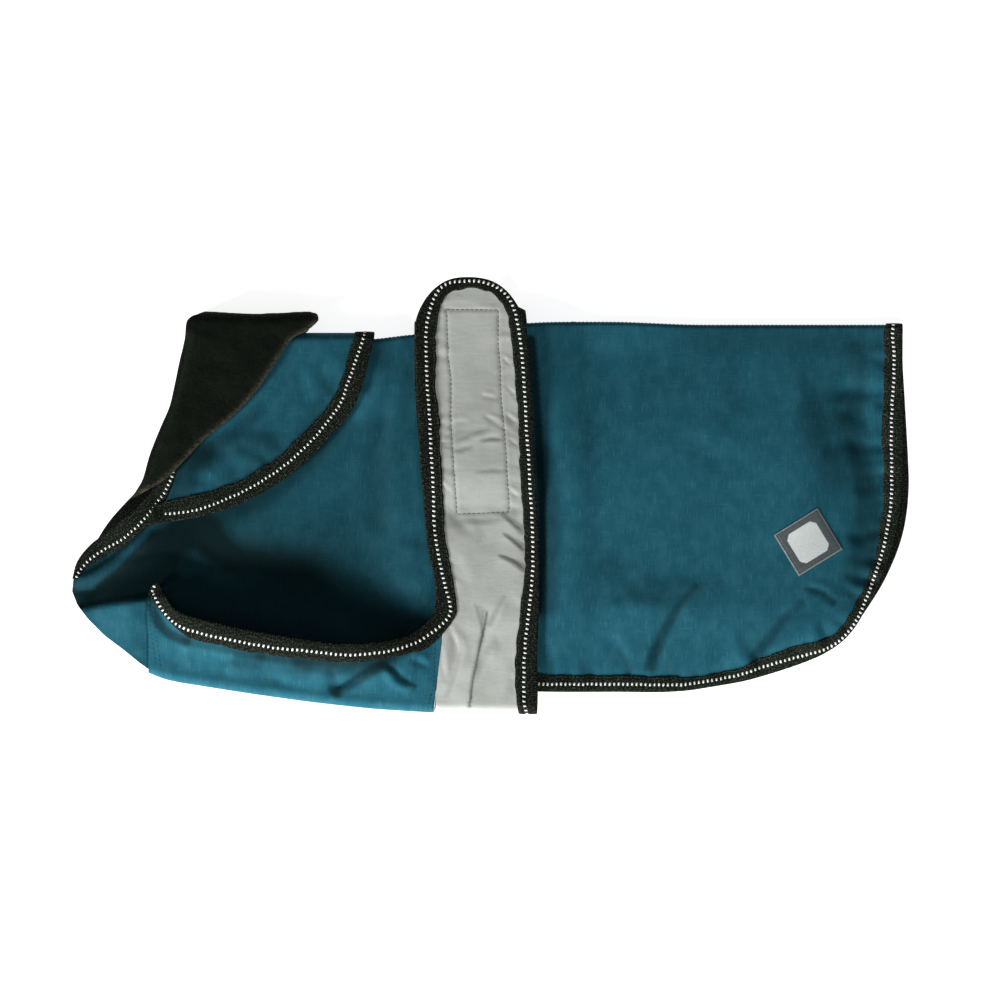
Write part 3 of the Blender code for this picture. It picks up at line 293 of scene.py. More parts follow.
FLAP_CREASES = (
    (((-150, 134), (-166, 112), (-186, 92)), -1.1, 7.0, 0.5),
    (((-180, 134), (-196, 106), (-214, 84)), -0.8, 9.0, 0.4),
    (((-210, 132), (-222, 100), (-232, 66)), 0.9, 8.0, 0.0),
    (((-238, 62), (-246, 40), (-252, 18)), -0.8, 5.0, 0.4),
)
# On the hidden half, up is away from the surface the coat lies on.
FAR_CREASES = (
    (((150, -60), (138, -88), (128, -116)), 1.5, 10.0, 0.0),
    (((232, -66), (222, -92), (206, -112)), 1.2, 8.0, 0.0),
    (((290, 60), (264, 66), (240, 56)), 1.1, 9.0, 0.0),
    (((70, 112), (78, 70), (70, 28)), 1.0, 10.0, 0.0),
    (((180, 110), (172, 60), (182, 20)), 0.9, 12.0, 0.0),
    (((110, 20), (150, 6), (190, 14)), 0.8, 9.0, 0.0),
    (((292, -20), (276, -30), (258, -28)), 0.9, 7.0, 0.0),
)


# ---------------------------------------------------------------- plane geometry
def smooth(t):
    t = np.clip(t, 0.0, 1.0)
    return t * t * (3.0 - 2.0 * t)


def distance_to(line, x, y):
    best = np.full(np.broadcast(x, y).shape, 1e18)
    for (ax, ay), (bx, by) in zip(line[:-1], line[1:]):
        dx, dy = bx - ax, by - ay
        t = np.clip(((x - ax) * dx + (y - ay) * dy) / max(dx * dx + dy * dy, 1e-9), 0.0, 1.0)
        best = np.minimum(best, (x - ax - t * dx) ** 2 + (y - ay - t * dy) ** 2)
    return np.sqrt(best)


def inside(ring, x, y):
    hit = np.zeros(np.broadcast(x, y).shape, bool)
    for (x0, y0), (x1, y1) in zip(ring, list(ring[1:]) + [ring[0]]):
        if y0 == y1:
            continue
        crosses = ((y0 > y) != (y1 > y)) & (x < x0 + (y - y0) * (x1 - x0) / (y1 - y0))
        hit ^= crosses
    return hit


def outside_distance(ring, x, y):
    return np.where(inside(ring, x, y), 0.0, distance_to(list(ring) + [ring[0]], x, y))


def nearest(line, x, y):
    """Distance to a chain, share of its length at the nearest point, and the signed distance, positive on its left."""
    p = np.array(line, float)
    seg = p[1:] - p[:-1]
    size = np.hypot(seg[:, 0], seg[:, 1])
    begin = np.concatenate(([0.0], np.cumsum(size)))
    best = np.full(np.broadcast(x, y).shape, 1e18)
    share = np.zeros_like(best)
    side = np.zeros_like(best)
    for (ax, ay), (dx, dy), length, start in zip(p[:-1], seg, size, begin):
        t = np.clip(((x - ax) * dx + (y - ay) * dy) / max(length * length, 1e-9), 0.0, 1.0)
        gap = (x - ax - t * dx) ** 2 + (y - ay - t * dy) ** 2
        closer = gap < best
        best = np.where(closer, gap, best)
        share = np.where(closer, (start + t * length) / begin[-1], share)
        side = np.where(closer, ((y - ay) * dx - (x - ax) * dy) / max(length, 1e-9), side)
    return np.sqrt(best), share, side


def rounded(points, steps=10):
    """A smooth chain through points."""
    p = [np.array(q, float) for q in points]
    if len(p) < 3:
        return [tuple(q) for q in p]
    out = []
    for i in range(len(p) - 1):
        a, b, c, d = p[max(i - 1, 0)], p[i], p[i + 1], p[min(i + 2, len(p) - 1)]
        for k in range(steps):
            t = k / steps
            out.append(tuple(0.5 * (2 * b + (c - a) * t + (2 * a - 5 * b + 4 * c - d) * t * t + (3 * b - a - 3 * c + d) * t ** 3)))
    out.append(tuple(p[-1]))
    return out


def spaced(chain, step, folds=(), fold_step=1.4, reach=20.0, far_step=None):
    """The chain's points at an even spacing, closer at folds and wider on the far half."""
    p = np.asarray(chain, float)
    seg = np.hypot(*np.diff(p, axis=0).T)
    at = np.concatenate(([0.0], np.cumsum(seg)))
    fine = np.linspace(0.0, at[-1], max(3, int(at[-1] / 0.4)))
    fine = np.column_stack([np.interp(fine, at, p[:, k]) for k in (0, 1)])
    seg = np.hypot(*np.diff(fine, axis=0).T)
    mid = 0.5 * (fine[1:] + fine[:-1])
    local = np.full(len(mid), float(step))
    if far_step:
        local[mid[:, 1] < -24.0] = far_step
    for f in folds:
        local = np.where(np.abs(mid[:, 1] - f) < reach, np.minimum(local, fold_step), local)
    cost = np.concatenate(([0.0], np.cumsum(seg / local)))
    count = max(1, int(round(cost[-1])))
    a = np.linspace(0.0, cost[-1], count + 1)
    return np.column_stack([np.interp(a, cost, fine[:, k]) for k in (0, 1)])


def lattice_noise(x, y, scale, seed, stretch=1.0):
    """Smooth noise from -1 to 1 on a lattice of the given spacing."""
    rows = np.random.RandomState(seed).rand(512, 512) * 2.0 - 1.0
    u = np.asarray(x, float) / scale + 200.0
    v = np.asarray(y, float) / (scale * stretch) + 200.0
    i, j = np.floor(u).astype(int), np.floor(v).astype(int)
    fu, fv = smooth(u - i), smooth(v - j)
    i, j = i % 512, j % 512
    k, l = (i + 1) % 512, (j + 1) % 512
    return (rows[i, j] * (1 - fu) + rows[k, j] * fu) * (1 - fv) + (rows[i, l] * (1 - fu) + rows[k, l] * fu) * fv


def creased(rows, x, y):
    total = np.zeros(np.broadcast(x, y).shape)
    for path, depth, width, ridge in rows:
        path = rounded(path, 5)
        gap, share, side = nearest(path, x, y)
        w = width * (0.6 + 0.4 * np.sin(math.pi * share))
        fade = smooth(share / 0.3) * smooth((1.0 - share) / 0.34)
        total = total + depth * np.exp(-((gap / w) ** 2)) * fade
        if ridge:
            away = side * math.copysign(1.0, ridge)
            total = total + abs(ridge) * np.exp(-(((away - 1.7 * w) / (1.2 * w)) ** 2)) * fade * (gap < 5 * w)
    return total


def stepped(rows, x, y):
    """Folds with one side raised: a steep step that levels out away from the path."""
    total = np.zeros(np.broadcast(x, y).shape)
    for path, height, edge, decay in rows:
        path = rounded(path, 6)
        gap, share, side = nearest(path, x, y)
        fade = smooth(share / 0.22) * smooth((1.0 - share) / 0.3)
        up = smooth(0.5 + 0.5 * side / edge)
        total = total + height * up * np.exp(-((np.maximum(side, 0.0) / decay) ** 1.4)) * np.exp(-np.maximum(gap - np.abs(side), 0.0) / 3.0) * fade
    return total


def shades(rows, x, y):
    """How much each place is shaded by the strokes of a table."""
    clear = np.ones(np.broadcast(x, y).shape)
    for path, start, end, soft, strength in rows:
        gap, share, _ = nearest(rounded(path, 4), x, y)
        clear = clear * (1.0 - strength * (1.0 - smooth((gap - start - (end - start) * share) / soft)))
    return 1.0 - clear


def along(line, x, y):
    """Distance to a chain and the length along it at the nearest point."""
    gap, share, _ = nearest(line, x, y)
    p = np.array(line, float)
    return gap, share * float(np.hypot(*np.diff(p, axis=0).T).sum())


# ---------------------------------------------------------------- heights of the layers
GX = np.arange(-346.0, 347.0, 2.0)
GY = np.arange(-196.0, 197.0, 2.0)
gx, gy = np.meshgrid(GX, GY, indexing="ij")


class Field:
    """A height worked out on a 2 mm grid and read between its points."""

    def __init__(self, values):
        self.v = values

    def __call__(self, x, y):
        u = np.clip((np.asarray(x, float) - GX[0]) / 2.0, 0.0, len(GX) - 1.001)
        v = np.clip((np.asarray(y, float) - GY[0]) / 2.0, 0.0, len(GY) - 1.001)
        i, j = u.astype(int), v.astype(int)
        fu, fv = u - i, v - j
        g = self.v
        return (g[i, j] * (1 - fu) + g[i + 1, j] * fu) * (1 - fv) + (g[i, j + 1] * (1 - fu) + g[i + 1, j + 1] * fu) * fv


def eased(table):
    """A fold line through its table, with its corners rounded off."""
    at = np.arange(-360.0, 361.0, 1.0)
    y = np.interp(at, table["x"], table["y"])
    kernel = np.exp(-(np.arange(-30, 31) / 12.0) ** 2)
    kernel /= kernel.sum()
    y = np.convolve(np.pad(y, 30, mode="edge"), kernel, mode="valid")
    return lambda x: np.interp(x, at, y)


spine_y, belly_y = eased(SPINE), eased(BELLY)
BELLY_RING = [(x, float(belly_y(x))) for x in (35, 0, -45, -91, -136, -182, -228, -250)] + list(CHEST_LAP + CHEST_EDGE + STRAP_LEFT + STRAP_TOP + STRAP_RIGHT)
COLLAR_RING = [(-90, 122)] + list(COLLAR_EDGE) + [(-262, 5)] + list(reversed(FLEECE_EDGE)) + [(-130, 138)]
FAR_RIM = list(NECK_EDGE_FAR[5:]) + list(FRONT_SEAM) + list(HEM_FAR) + [(314, 128)]
FRONT_LINE = ((-311, -87), (-305.1, -94.6), (-293, -106.8), (-277.8, -118.2), (-264.9, -126.5))

over = 1.0 - smooth((np.minimum(outside_distance(BELLY_RING, gx, gy), outside_distance(COLLAR_RING, gx, gy)) - 9.0) / 45.0)
rim = 1.0 - smooth((distance_to(FAR_RIM, gx, gy) - TAPE_WIDTH) / 30.0)
far_plain = FAR_FLOOR + np.maximum(FAR_OVER * over, RIM_LIFT * rim)
spine_fade = smooth((spine_y(gx) - gy - 6.0) / 26.0)
far_lumps = np.maximum(0.0, creased(FAR_CREASES, gx, gy) + 0.35 * lattice_noise(gx, gy, 46.0, 5) + 0.15) * spine_fade
far_lumps = far_lumps * smooth((distance_to(FAR_RIM, gx, gy) - 6.0) / 24.0) * (1.0 - 0.5 * over)
far_back_0 = Field(far_plain)
far_back = Field(far_plain + far_lumps)

neck = 1.0 - smooth(outside_distance(list(INNER_NEAR), gx, gy) / 95.0)
gap = BODY_GAP + (NECK_GAP - BODY_GAP) * neck
low_rear = smooth((-6.0 - gy) / 50.0)
crown = CROWN * smooth((gx - 29.0) / 44.0) * (1.0 - (0.94 - 0.28 * low_rear) * smooth((gx - 228.0 + 58.0 * low_rear) / (62.0 + 58.0 * low_rear))) * smooth((gy + 143.0) / 62.0) * smooth((128.0 - gy) / 112.0)
yoke = 1.6 * np.exp(-(((gx + 80.0) / 24.0) ** 2 + ((gy - 84.0) / 24.0) ** 2))
front = FRONT_GAP + 0.13 * distance_to(FRONT_LINE, gx, gy)
near_plain = far_plain + np.minimum(gap + crown, front)
# How far each place is below the upper limit of the hollow behind the leg opening.
HOLLOW = ((-322, -84), (-306, -77), (-299, -73), (-292, -65), (-284.6, -60), (-277, -55), (-269, -50), (-258, -40), (-248, -28), (-238, -16), (-222, -11), (-206, -17), (-190, -34), (-159, -40), (-129, -46), (-100, -63), (-84, -75.5), (-68, -85.5), (-52, -89), (-30, -94))
hollow = distance_to(rounded(HOLLOW, 6), gx, gy) * np.where(inside([(-322, -200)] + list(HOLLOW) + [(-30, -200)], gx, gy), 1.0, -1.0)
pocket = smooth((hollow + 12.0) / 50.0) * smooth((gx + 275.0) / 40.0) * smooth((-36.0 - gx) / 40.0)
wide = 3.4 + 10.0 * smooth((gx + 228.0) / 60.0) - 7.5 * smooth((gx + 112.0) / 34.0)
above_step = np.where(gx < -258.0, smooth((gy + 80.0 - 0.14 * (gx + 258.0)) / 4.0 + 0.5), 1.0)
dark = smooth(0.5 + hollow / (2.0 * wide)) * smooth((-32.0 - gx) / 14.0) * above_step
edge_fade = smooth((spine_y(gx) - gy - 4.0) / 22.0)
rumple = 0.6 * lattice_noise(gx, gy, 62.0, 11) + 0.2 * lattice_noise(gx, gy, 30.0, 12, 1.3) + 0.06 * lattice_noise(gx, gy, 12.0, 13, 1.4)


def gathers(line, seed, pitch, reach, depth):
    """Short puckers that a binding's stitching gathers into the cloth beside it, square to the binding."""
    to, at = along(line, gx, gy)
    ripple = lattice_noise(at, 0.0 * at, pitch, seed) + 0.5 * lattice_noise(at, to, 0.55 * pitch, seed + 1, 3.0)
    long = 0.7 + 0.6 * lattice_noise(at, 0.0 * at, 3.0 * pitch, seed + 2)
    return depth * ripple * np.exp(-((to / (reach * long)) ** 2)) - 0.5 * np.exp(-((to / 3.0) ** 2))


hem_gathers = gathers(HEM_INNER, 71, 8.0, 15.0, 1.0) * smooth((gx - 30.0) / 12.0)
collar_gathers = gathers(COLLAR_INNER, 75, 7.0, 9.0, 0.45)
near_lumps = (creased(BACK_CREASES, gx, gy) + rumple * smooth((gx + 250.0) / 60.0) + hem_gathers + yoke) * edge_fade
front_step = stepped(FRONT_STEPS, gx, gy)
near_dip = np.minimum(POCKET_DIP * pocket, np.maximum(near_plain - far_plain - 2.6, 0.0))
near_back_0 = Field(near_plain)
near_back = Field(np.maximum(near_plain + near_lumps + front_step - near_dip, far_plain + far_lumps + 1.7))
# Painted shade: the hollow behind the leg opening, the left half and the yoke are darkened in the cloth's colour where
# shade falls, and lit_yoke lightens the lit part of the yoke again.
left_painted_shade = (0.30 + 0.24 * smooth((hollow + 56.0) / 62.0)) * (1.0 - 0.45 * smooth((gx + 68.0) / 14.0)) * smooth((-38.0 - gx) / 6.0) * above_step
lit_yoke = 1.0 * np.exp(-(((gx + 96.0) / 15.0) ** 2 + ((gy - 74.0) / 22.0) ** 2))
core = dark * (0.93 - 0.52 * smooth((hollow - 15.0) / 27.0)) * (1.0 - 0.36 * smooth((gx + 138.0) / 36.0))
pocket_painted_shade = Field(1.0 - (1.0 - core) * (1.0 - left_painted_shade * (1.0 - lit_yoke)))


def chest_edge_y(x):
    rows = np.array(CHEST_EDGE[1:-1])
    return np.interp(x, rows[:, 0], rows[:, 1])


def strap_texture(x, y):
    """Puckers along the strap's stitching and bindings, and the pull of the stitches themselves."""
    on = smooth((x + 50.0) / 8.0) * smooth((40.0 - x) / 8.0)
    to_patch = distance_to(HOOK_PATCH, x, y)
    in_patch = inside(HOOK_PATCH, x, y)
    to_tape = distance_to(BELLY_INNER, x, y)
    pull = -0.26 * np.exp(-((to_patch / 0.9) ** 2))
    welt = 0.10 * np.exp(-(((to_patch - 2.3) / 1.4) ** 2)) * np.where(in_patch, 0.2, 1.0)
    ripple = lattice_noise(x, y, 34.0, 21, 0.14) + 0.6 * lattice_noise(x, y + 0.35 * x, 26.0, 22, 0.16)
    margin = np.exp(-((to_patch / 6.0) ** 2)) * np.where(in_patch, 0.45, 1.0) + 0.9 * np.exp(-((to_tape / 6.0) ** 2))
    low = smooth((-16.0 - y) / 20.0)
    loose = 0.24 * lattice_noise(x, y, 17.0, 23, 0.7) * (0.25 + 1.5 * low) * np.where(in_patch, 0.45, 1.0)
    pad = 0.16 * smooth((np.where(in_patch, to_patch, 0.0) - 0.5) / 3.0)
    folds = 0.42 * creased(STRAP_CREASES, x, y) + 0.6 * stepped(STRAP_STEPS, x, y)
    return on * (pull + welt + pad + 0.24 * ripple * np.minimum(margin, 1.2) + loose + folds)


low = belly_y(gx) + 8.0
t = smooth((gy - low) / np.maximum(chest_edge_y(gx) - low, 12.0))
mouth = smooth((gx + 262.0) / 60.0) * smooth((-36.0 - gx) / 70.0)
lift = BELLY_LIFT - 1.7 * smooth((-225.0 - gx) / 25.0) + MOUTH_RISE * mouth * t
wing = smooth((gy - WING_TAIL_Y + 50.0) / 40.0)
droop = 2.4 * smooth((gy - 138.0) / 30.0)
strap_follow = 0.85 * near_lumps * smooth((gx + 56.0) / 10.0)
belly_plain = near_plain + strap_follow + lift + TAIL_LIFT * wing - droop
belly_fade = smooth((gy - belly_y(gx) - 3.0) / 14.0)
chest_lumps = creased(CHEST_CREASES, gx, gy) + stepped(CHEST_STEPS, gx, gy) + 0.8 * lattice_noise(gx, gy, 34.0, 31) + 0.3 * lattice_noise(gx, gy, 15.0, 32)
belly_lumps = chest_lumps * belly_fade * smooth((-40.0 - gx) / 8.0) + front_step
near_belly_0 = Field(belly_plain)


class BellyField(Field):
    """The strap's fine puckers are too small for the grid, so they are added at each point."""

    def __call__(self, x, y):
        x, y = np.asarray(x, float), np.asarray(y, float)
        out = super().__call__(x, y)
        on = (x > -52.0) & (x < 42.0)
        if on.any():
            out = np.array(out, float)
            add = strap_texture(x[on], y[on]) * smooth((y[on] - belly_y(x[on]) - 0.5) / 5.0)
            out[on] += add
        return out


near_belly = BellyField(np.maximum(belly_plain + belly_lumps, near_back.v + 1.6))

edge = distance_to(BELLY_RING + BELLY_RING[:1], gx, gy)
far_belly = Field(STRAP / 2 + 0.1 + RIM_LIFT * (1.0 - smooth((edge - TAPE_WIDTH) / 22.0)) * smooth((gy - belly_y(gx)) + 1.0))
wing_tail = Field(near_plain + strap_follow + BELLY_LIFT - 0.4)
collar_lumps = creased(COLLAR_CREASES, gx, gy) + 0.8 * lattice_noise(gx, gy, 36.0, 41) + 0.3 * lattice_noise(gx, gy, 15.0, 42) + collar_gathers
neck_seam = 1.0 - smooth((distance_to(COLLAR_NECK[:6], gx, gy) - 1.0) / 9.0)
collar_plain = near_plain + COLLAR_LIFT + collar_lumps * smooth((COLLAR_FOLD_Y - gy - 4.0) / 18.0)
collar_plain = np.maximum(collar_plain + (near_back.v - near_plain) * 0.8, near_back.v + 2.3)
near_collar = Field(collar_plain * (1.0 - neck_seam) + (near_back.v + 1.35) * neck_seam)
near_collar_0 = Field(near_plain + COLLAR_LIFT)
far_collar = Field(np.full_like(gx, FAR_FLOOR + 2.4))
turn = 1.0 - smooth(distance_to(FLEECE_EDGE, gx, gy) / 8.0)
flap_lumps = creased(FLAP_CREASES, gx, gy) + 0.7 * lattice_noise(gx, gy, 24.0, 51) + 0.35 * lattice_noise(gx, gy, 10.0, 52)
flap_plain = near_plain + FLAP_LIFT + 0.5 - 3.6 * turn + flap_lumps * smooth((FLEECE_FOLD_Y - gy - 2.0) / 14.0)
flap_rest = np.where(inside([tuple(q) for q in COLLAR_EDGE] + [tuple(q) for q in COLLAR_NECK], gx, gy), near_collar.v + 2.2, near_back.v + 2.6)
near_flap = Field(np.maximum(flap_plain, flap_rest))
near_flap_0 = Field(near_plain + FLAP_LIFT + 0.5)
far_flap = Field(np.full_like(gx, FLEECE / 2) + 3.6 * turn)
near_inner = Field(near_plain - FLEECE_INSET)
far_inner = Field(far_plain + FLEECE_INSET)


# ---------------------------------------------------------------- folded sheets
class Fold:
    """A sheet folded once: near and far are the heights of its halves, down the side of the fold line it hangs to."""

    def __init__(self, line, near, far, down, near_0=None, far_0=None):
        self.line, self.near, self.far, self.down = line, near, far, down
        self.near_0, self.far_0 = near_0 or near, far_0 or far

    def radius(self, x):
        middle = self.line(x) - self.down * 4.0
        return 0.5 * (self.near_0(x, middle) - self.far_0(x, middle))

    def pattern(self, x, y, side):
        r = self.radius(x)
        return side * (self.down * (self.line(x) - y) + (math.pi / 2 - 1.0) * r)

    def flat_y(self, x, s):
        r = self.radius(x)
        return self.line(x) - self.down * r - self.down * (np.abs(s) - r * math.pi / 2)

    def place(self, x, s):
        x, s = np.asarray(x, float), np.asarray(s, float)
        r = self.radius(x)
        quarter = r * math.pi / 2
        start = self.line(x) - self.down * r
        low, high = self.far(x, start), self.near(x, start)
        a = np.clip(np.abs(s) / quarter, 0.0, 1.0) * math.pi / 2
        folded = np.abs(s) < quarter
        y = start - self.down * (np.abs(s) - quarter)
        y = np.where(folded, self.line(x) - self.down * r * (1.0 - np.cos(a)), y)
        z_fold = 0.5 * (high + low) + np.sign(s) * 0.5 * (high - low) * np.sin(a)
        z = np.where(folded, z_fold, np.where(s > 0, self.near(x, y), self.far(x, y)))
        return np.stack([np.broadcast_to(x, y.shape), y, z], axis=-1)


class WingFold(Fold):
    """The belly sheet: its far half runs up to the spine, over it, and down again on the near side."""

    def top(self, x):
        return WING_FOLD_Y - 11.0 * smooth((-30.0 - x) / 22.0) - 2.5 * smooth((x - 21.0) / 6.0)

    def upper_start(self, x):
        top = self.top(x)
        r = 0.5 * (wing_tail(x, top - 6.0) - self.far(x, top - 6.0))
        lower = self.radius(x)
        return lower * math.pi / 2 + (top - r) - (self.line(x) + lower), r

    def tail_pattern(self, x, y):
        begin, r = self.upper_start(np.float64(x))
        return float(-(begin + math.pi * r + (self.top(np.float64(x)) - r - y)))

    def place(self, x, s):
        x, s = np.asarray(x, float), np.asarray(s, float)
        out = super().place(x, s)
        begin, r = self.upper_start(x)
        past = -s - begin
        centre = self.top(x) - r
        low, high = self.far(x, centre), wing_tail(x, centre)
        a = np.clip(past / np.maximum(math.pi * r, 1e-6), 0.0, 1.0) * math.pi
        half = 0.5 * (high - low)
        arc = np.stack([x + 0 * a, centre + r * np.sin(a), low + half * (1.0 - np.cos(a))], axis=-1)
        y = centre - (past - math.pi * r)
        tail = np.stack([x + 0 * a, y, wing_tail(x, y)], axis=-1)
        on = ((s < 0) & (x > -70.0) & (past > 0))[..., None]
        return np.where(on, np.where((past < math.pi * r)[..., None], arc, tail), out)


def normals_at(place, x, s, face=1.0):
    e = 0.5
    dx = place(x + e, s) - place(x - e, s)
    ds = place(x, s + e) - place(x, s - e)
    n = np.cross(ds, dx) * face
    return n / np.maximum(np.linalg.norm(n, axis=-1, keepdims=True), 1e-9)


def world(points):
    p = np.asarray(points, float).copy()
    p[..., 0] += CENTRE[0]
    p[..., 1] += CENTRE[1]
    return p * MM


def build(name, points, faces, mat, uv=None, attributes=(), sharp=60.0):
    """A mesh object from points in millimetres, faces as arrays of indices, and a UV pair for each vertex."""
    mesh = bpy.data.meshes.new(name)
    co = world(points).astype(np.float32)
    mesh.vertices.add(len(co))
    mesh.vertices.foreach_set("co", co.ravel())
    sizes = np.array([len(f) for f in faces], np.int32) if not isinstance(faces, np.ndarray) else np.full(len(faces), faces.shape[1], np.int32)
    loops = (faces.ravel() if isinstance(faces, np.ndarray) else np.concatenate([np.asarray(f) for f in faces])).astype(np.int32)
    mesh.loops.add(len(loops))
    mesh.loops.foreach_set("vertex_index", loops)
    mesh.polygons.add(len(sizes))
    mesh.polygons.foreach_set("loop_start", np.concatenate(([0], np.cumsum(sizes)[:-1])).astype(np.int32))
    mesh.update(calc_edges=True)
    mesh.validate()
    if uv is not None:
        layer = mesh.uv_layers.new(name="weave")
        index = np.zeros(len(mesh.loops), np.int32)
        mesh.loops.foreach_get("vertex_index", index)
        layer.data.foreach_set("uv", (np.asarray(uv, float)[index] * MM).astype(np.float32).ravel())
    for key, values in attributes:
        mesh.attributes.new(key, "FLOAT", "POINT").data.foreach_set("value", np.asarray(values, np.float32))
    mesh.shade_smooth()
    mesh.set_sharp_from_angle(angle=math.radians(sharp))
    mesh.materials.append(mat)
    obj = bpy.data.objects.new(name, mesh)
    bpy.context.scene.collection.objects.link(obj)
    return obj


def lattice(box, hx, hs):
    x0, x1, s0, s1 = box
    rows = np.arange(s0 + hs * 0.5, s1, hs)
    xs = np.arange(x0, x1, hx)
    x = np.concatenate([xs + (hx / 2 if k % 2 else 0.0) for k in range(len(rows))])
    return x, np.repeat(rows, len(xs))


class Sheet:
    """A cloth shell in pattern coordinates. edges are (name, chain) in order round the outline. rules are
    (test, spacing in x, spacing in s): each point belongs to the first rule whose test it passes."""

    def __init__(self, place, edges, rules, thickness, face=1.0, step=2.2, far_step=4.5, folds=(0.0,), lines=(), rim=0.0):
        self.place, self.thickness, self.face, self.rim = place, thickness, face, rim
        self.chains, ring = {}, []
        for name, chain in edges:
            chain = spaced(chain, step, folds, far_step=far_step)
            self.chains[name] = chain
            ring += [tuple(q) for q in chain[:-1]]
        self.ring = ring
        n = len(ring)
        r = np.array(ring)
        nxt = np.roll(r, -1, axis=0)
        self.area = 0.5 * float((r[:, 0] * nxt[:, 1] - nxt[:, 0] * r[:, 1]).sum())
        self.sign = 1.0 if self.area > 0 else -1.0
        box = (r[:, 0].min(), r[:, 0].max(), r[:, 1].min(), r[:, 1].max())
        self.box = box
        found = []
        earlier = []
        for test, hx, hs in rules:
            x, s = lattice(box, hx, hs)
            keep = test(x, s)
            for other in earlier:
                keep &= ~other(x, s)
            earlier.append(test)
            x, s = x[keep], s[keep]
            keep = inside(ring, x, s)
            x, s = x[keep], s[keep]
            keep = distance_to(ring + ring[:1], x, s) > 0.5 * min(hx, hs)
            for line in lines:
                keep &= distance_to(line, x, s) > 0.4 * min(hx, hs)
            found.append(np.column_stack([x[keep], s[keep]]))
        points = [tuple(map(float, q)) for q in ring]
        links = [(i, (i + 1) % n) for i in range(n)]
        for line in lines:
            base = len(points)
            points += [tuple(map(float, q)) for q in line]
            links += [(base + i, base + i + 1) for i in range(len(line) - 1)]
        points += [tuple(map(float, q)) for q in np.concatenate(found)]
        verts, _, faces, _, _, _ = delaunay_2d_cdt(points, links, [], 0, 1e-4)
        self.verts = np.array([tuple(v) for v in verts])
        faces = np.array([tuple(f) for f in faces if len(f) == 3])
        middle = self.verts[faces].mean(axis=1)
        self.faces = faces[inside(ring, middle[:, 0], middle[:, 1])]
        self.middle = self.verts[self.faces].mean(axis=1)

    def shell(self, name, mat, pick=None, attributes=(), lumps=None, sharp=60.0):
        """The sheet, or the faces that pick chooses, as a closed thin shell."""
        faces = self.faces if pick is None else self.faces[pick(self.middle[:, 0], self.middle[:, 1])]
        used, faces = np.unique(faces, return_inverse=True)
        faces = faces.reshape(-1, 3)
        x, s = self.verts[used].T
        mid = self.place(x, s)
        n = normals_at(self.place, x, s, self.face)
        half = np.full(len(x), self.thickness / 2)
        if self.rim:
            d = distance_to(self.ring + self.ring[:1], x, s)
            half = half * np.sqrt(1.0 - (1.0 - np.clip((d + 0.12) / self.rim, 0.0, 1.0)) ** 2)
        top = mid + n * half[:, None]
        low = mid - n * half[:, None]
        if lumps is not None:
            bump = lumps(x, s)
            top = top + n * bump[:, None]
            low = low - n * bump[:, None]
        # Faces run so that the outer side faces along n.
        a, b, c = (mid[faces[:, k]] for k in range(3))
        wrong = (np.cross(b - a, c - a) * n[faces[:, 0]]).sum(1) < 0
        faces[wrong] = faces[wrong][:, ::-1]
        k = len(x)
        edges = np.concatenate([faces[:, [0, 1]], faces[:, [1, 2]], faces[:, [2, 0]]])
        code = edges[:, 0].astype(np.int64) * k + edges[:, 1]
        back = edges[:, 1].astype(np.int64) * k + edges[:, 0]
        rim = edges[~np.isin(code, back)]
        walls = [np.column_stack([rim[:, 1], rim[:, 0], k + rim[:, 0]]), np.column_stack([rim[:, 1], k + rim[:, 0], k + rim[:, 1]])]
        everything = np.concatenate([faces, faces[:, ::-1] + k] + walls)
        uv = np.column_stack([x, s])
        values = [(key, np.tile(fn(x, s), 2)) for key, fn in attributes]
        obj = build(name, np.concatenate([top, low]), everything, mat, np.concatenate([uv, uv]), values, sharp)
        self.cut = float(np.abs(np.cross(*(self.verts[used][faces[:, i]] - self.verts[used][faces[:, 0]] for i in (1, 2)))).sum() / 2)
        self.cut_box = (np.ptp(x), np.ptp(s))
        return obj


def tangents(chain, reach=3):
    p = np.asarray(chain, float)
    n = len(p)
    out = np.zeros_like(p)
    for i in range(n):
        d = p[min(i + reach, n - 1)] - p[max(i - reach, 0)]
        out[i] = d / max(np.linalg.norm(d), 1e-9)
    return out


def steadied(values, reach):
    kernel = np.hanning(2 * reach + 3)[1:-1]
    kernel /= kernel.sum()
    return np.convolve(np.pad(values, reach, mode="edge"), kernel, mode="valid")


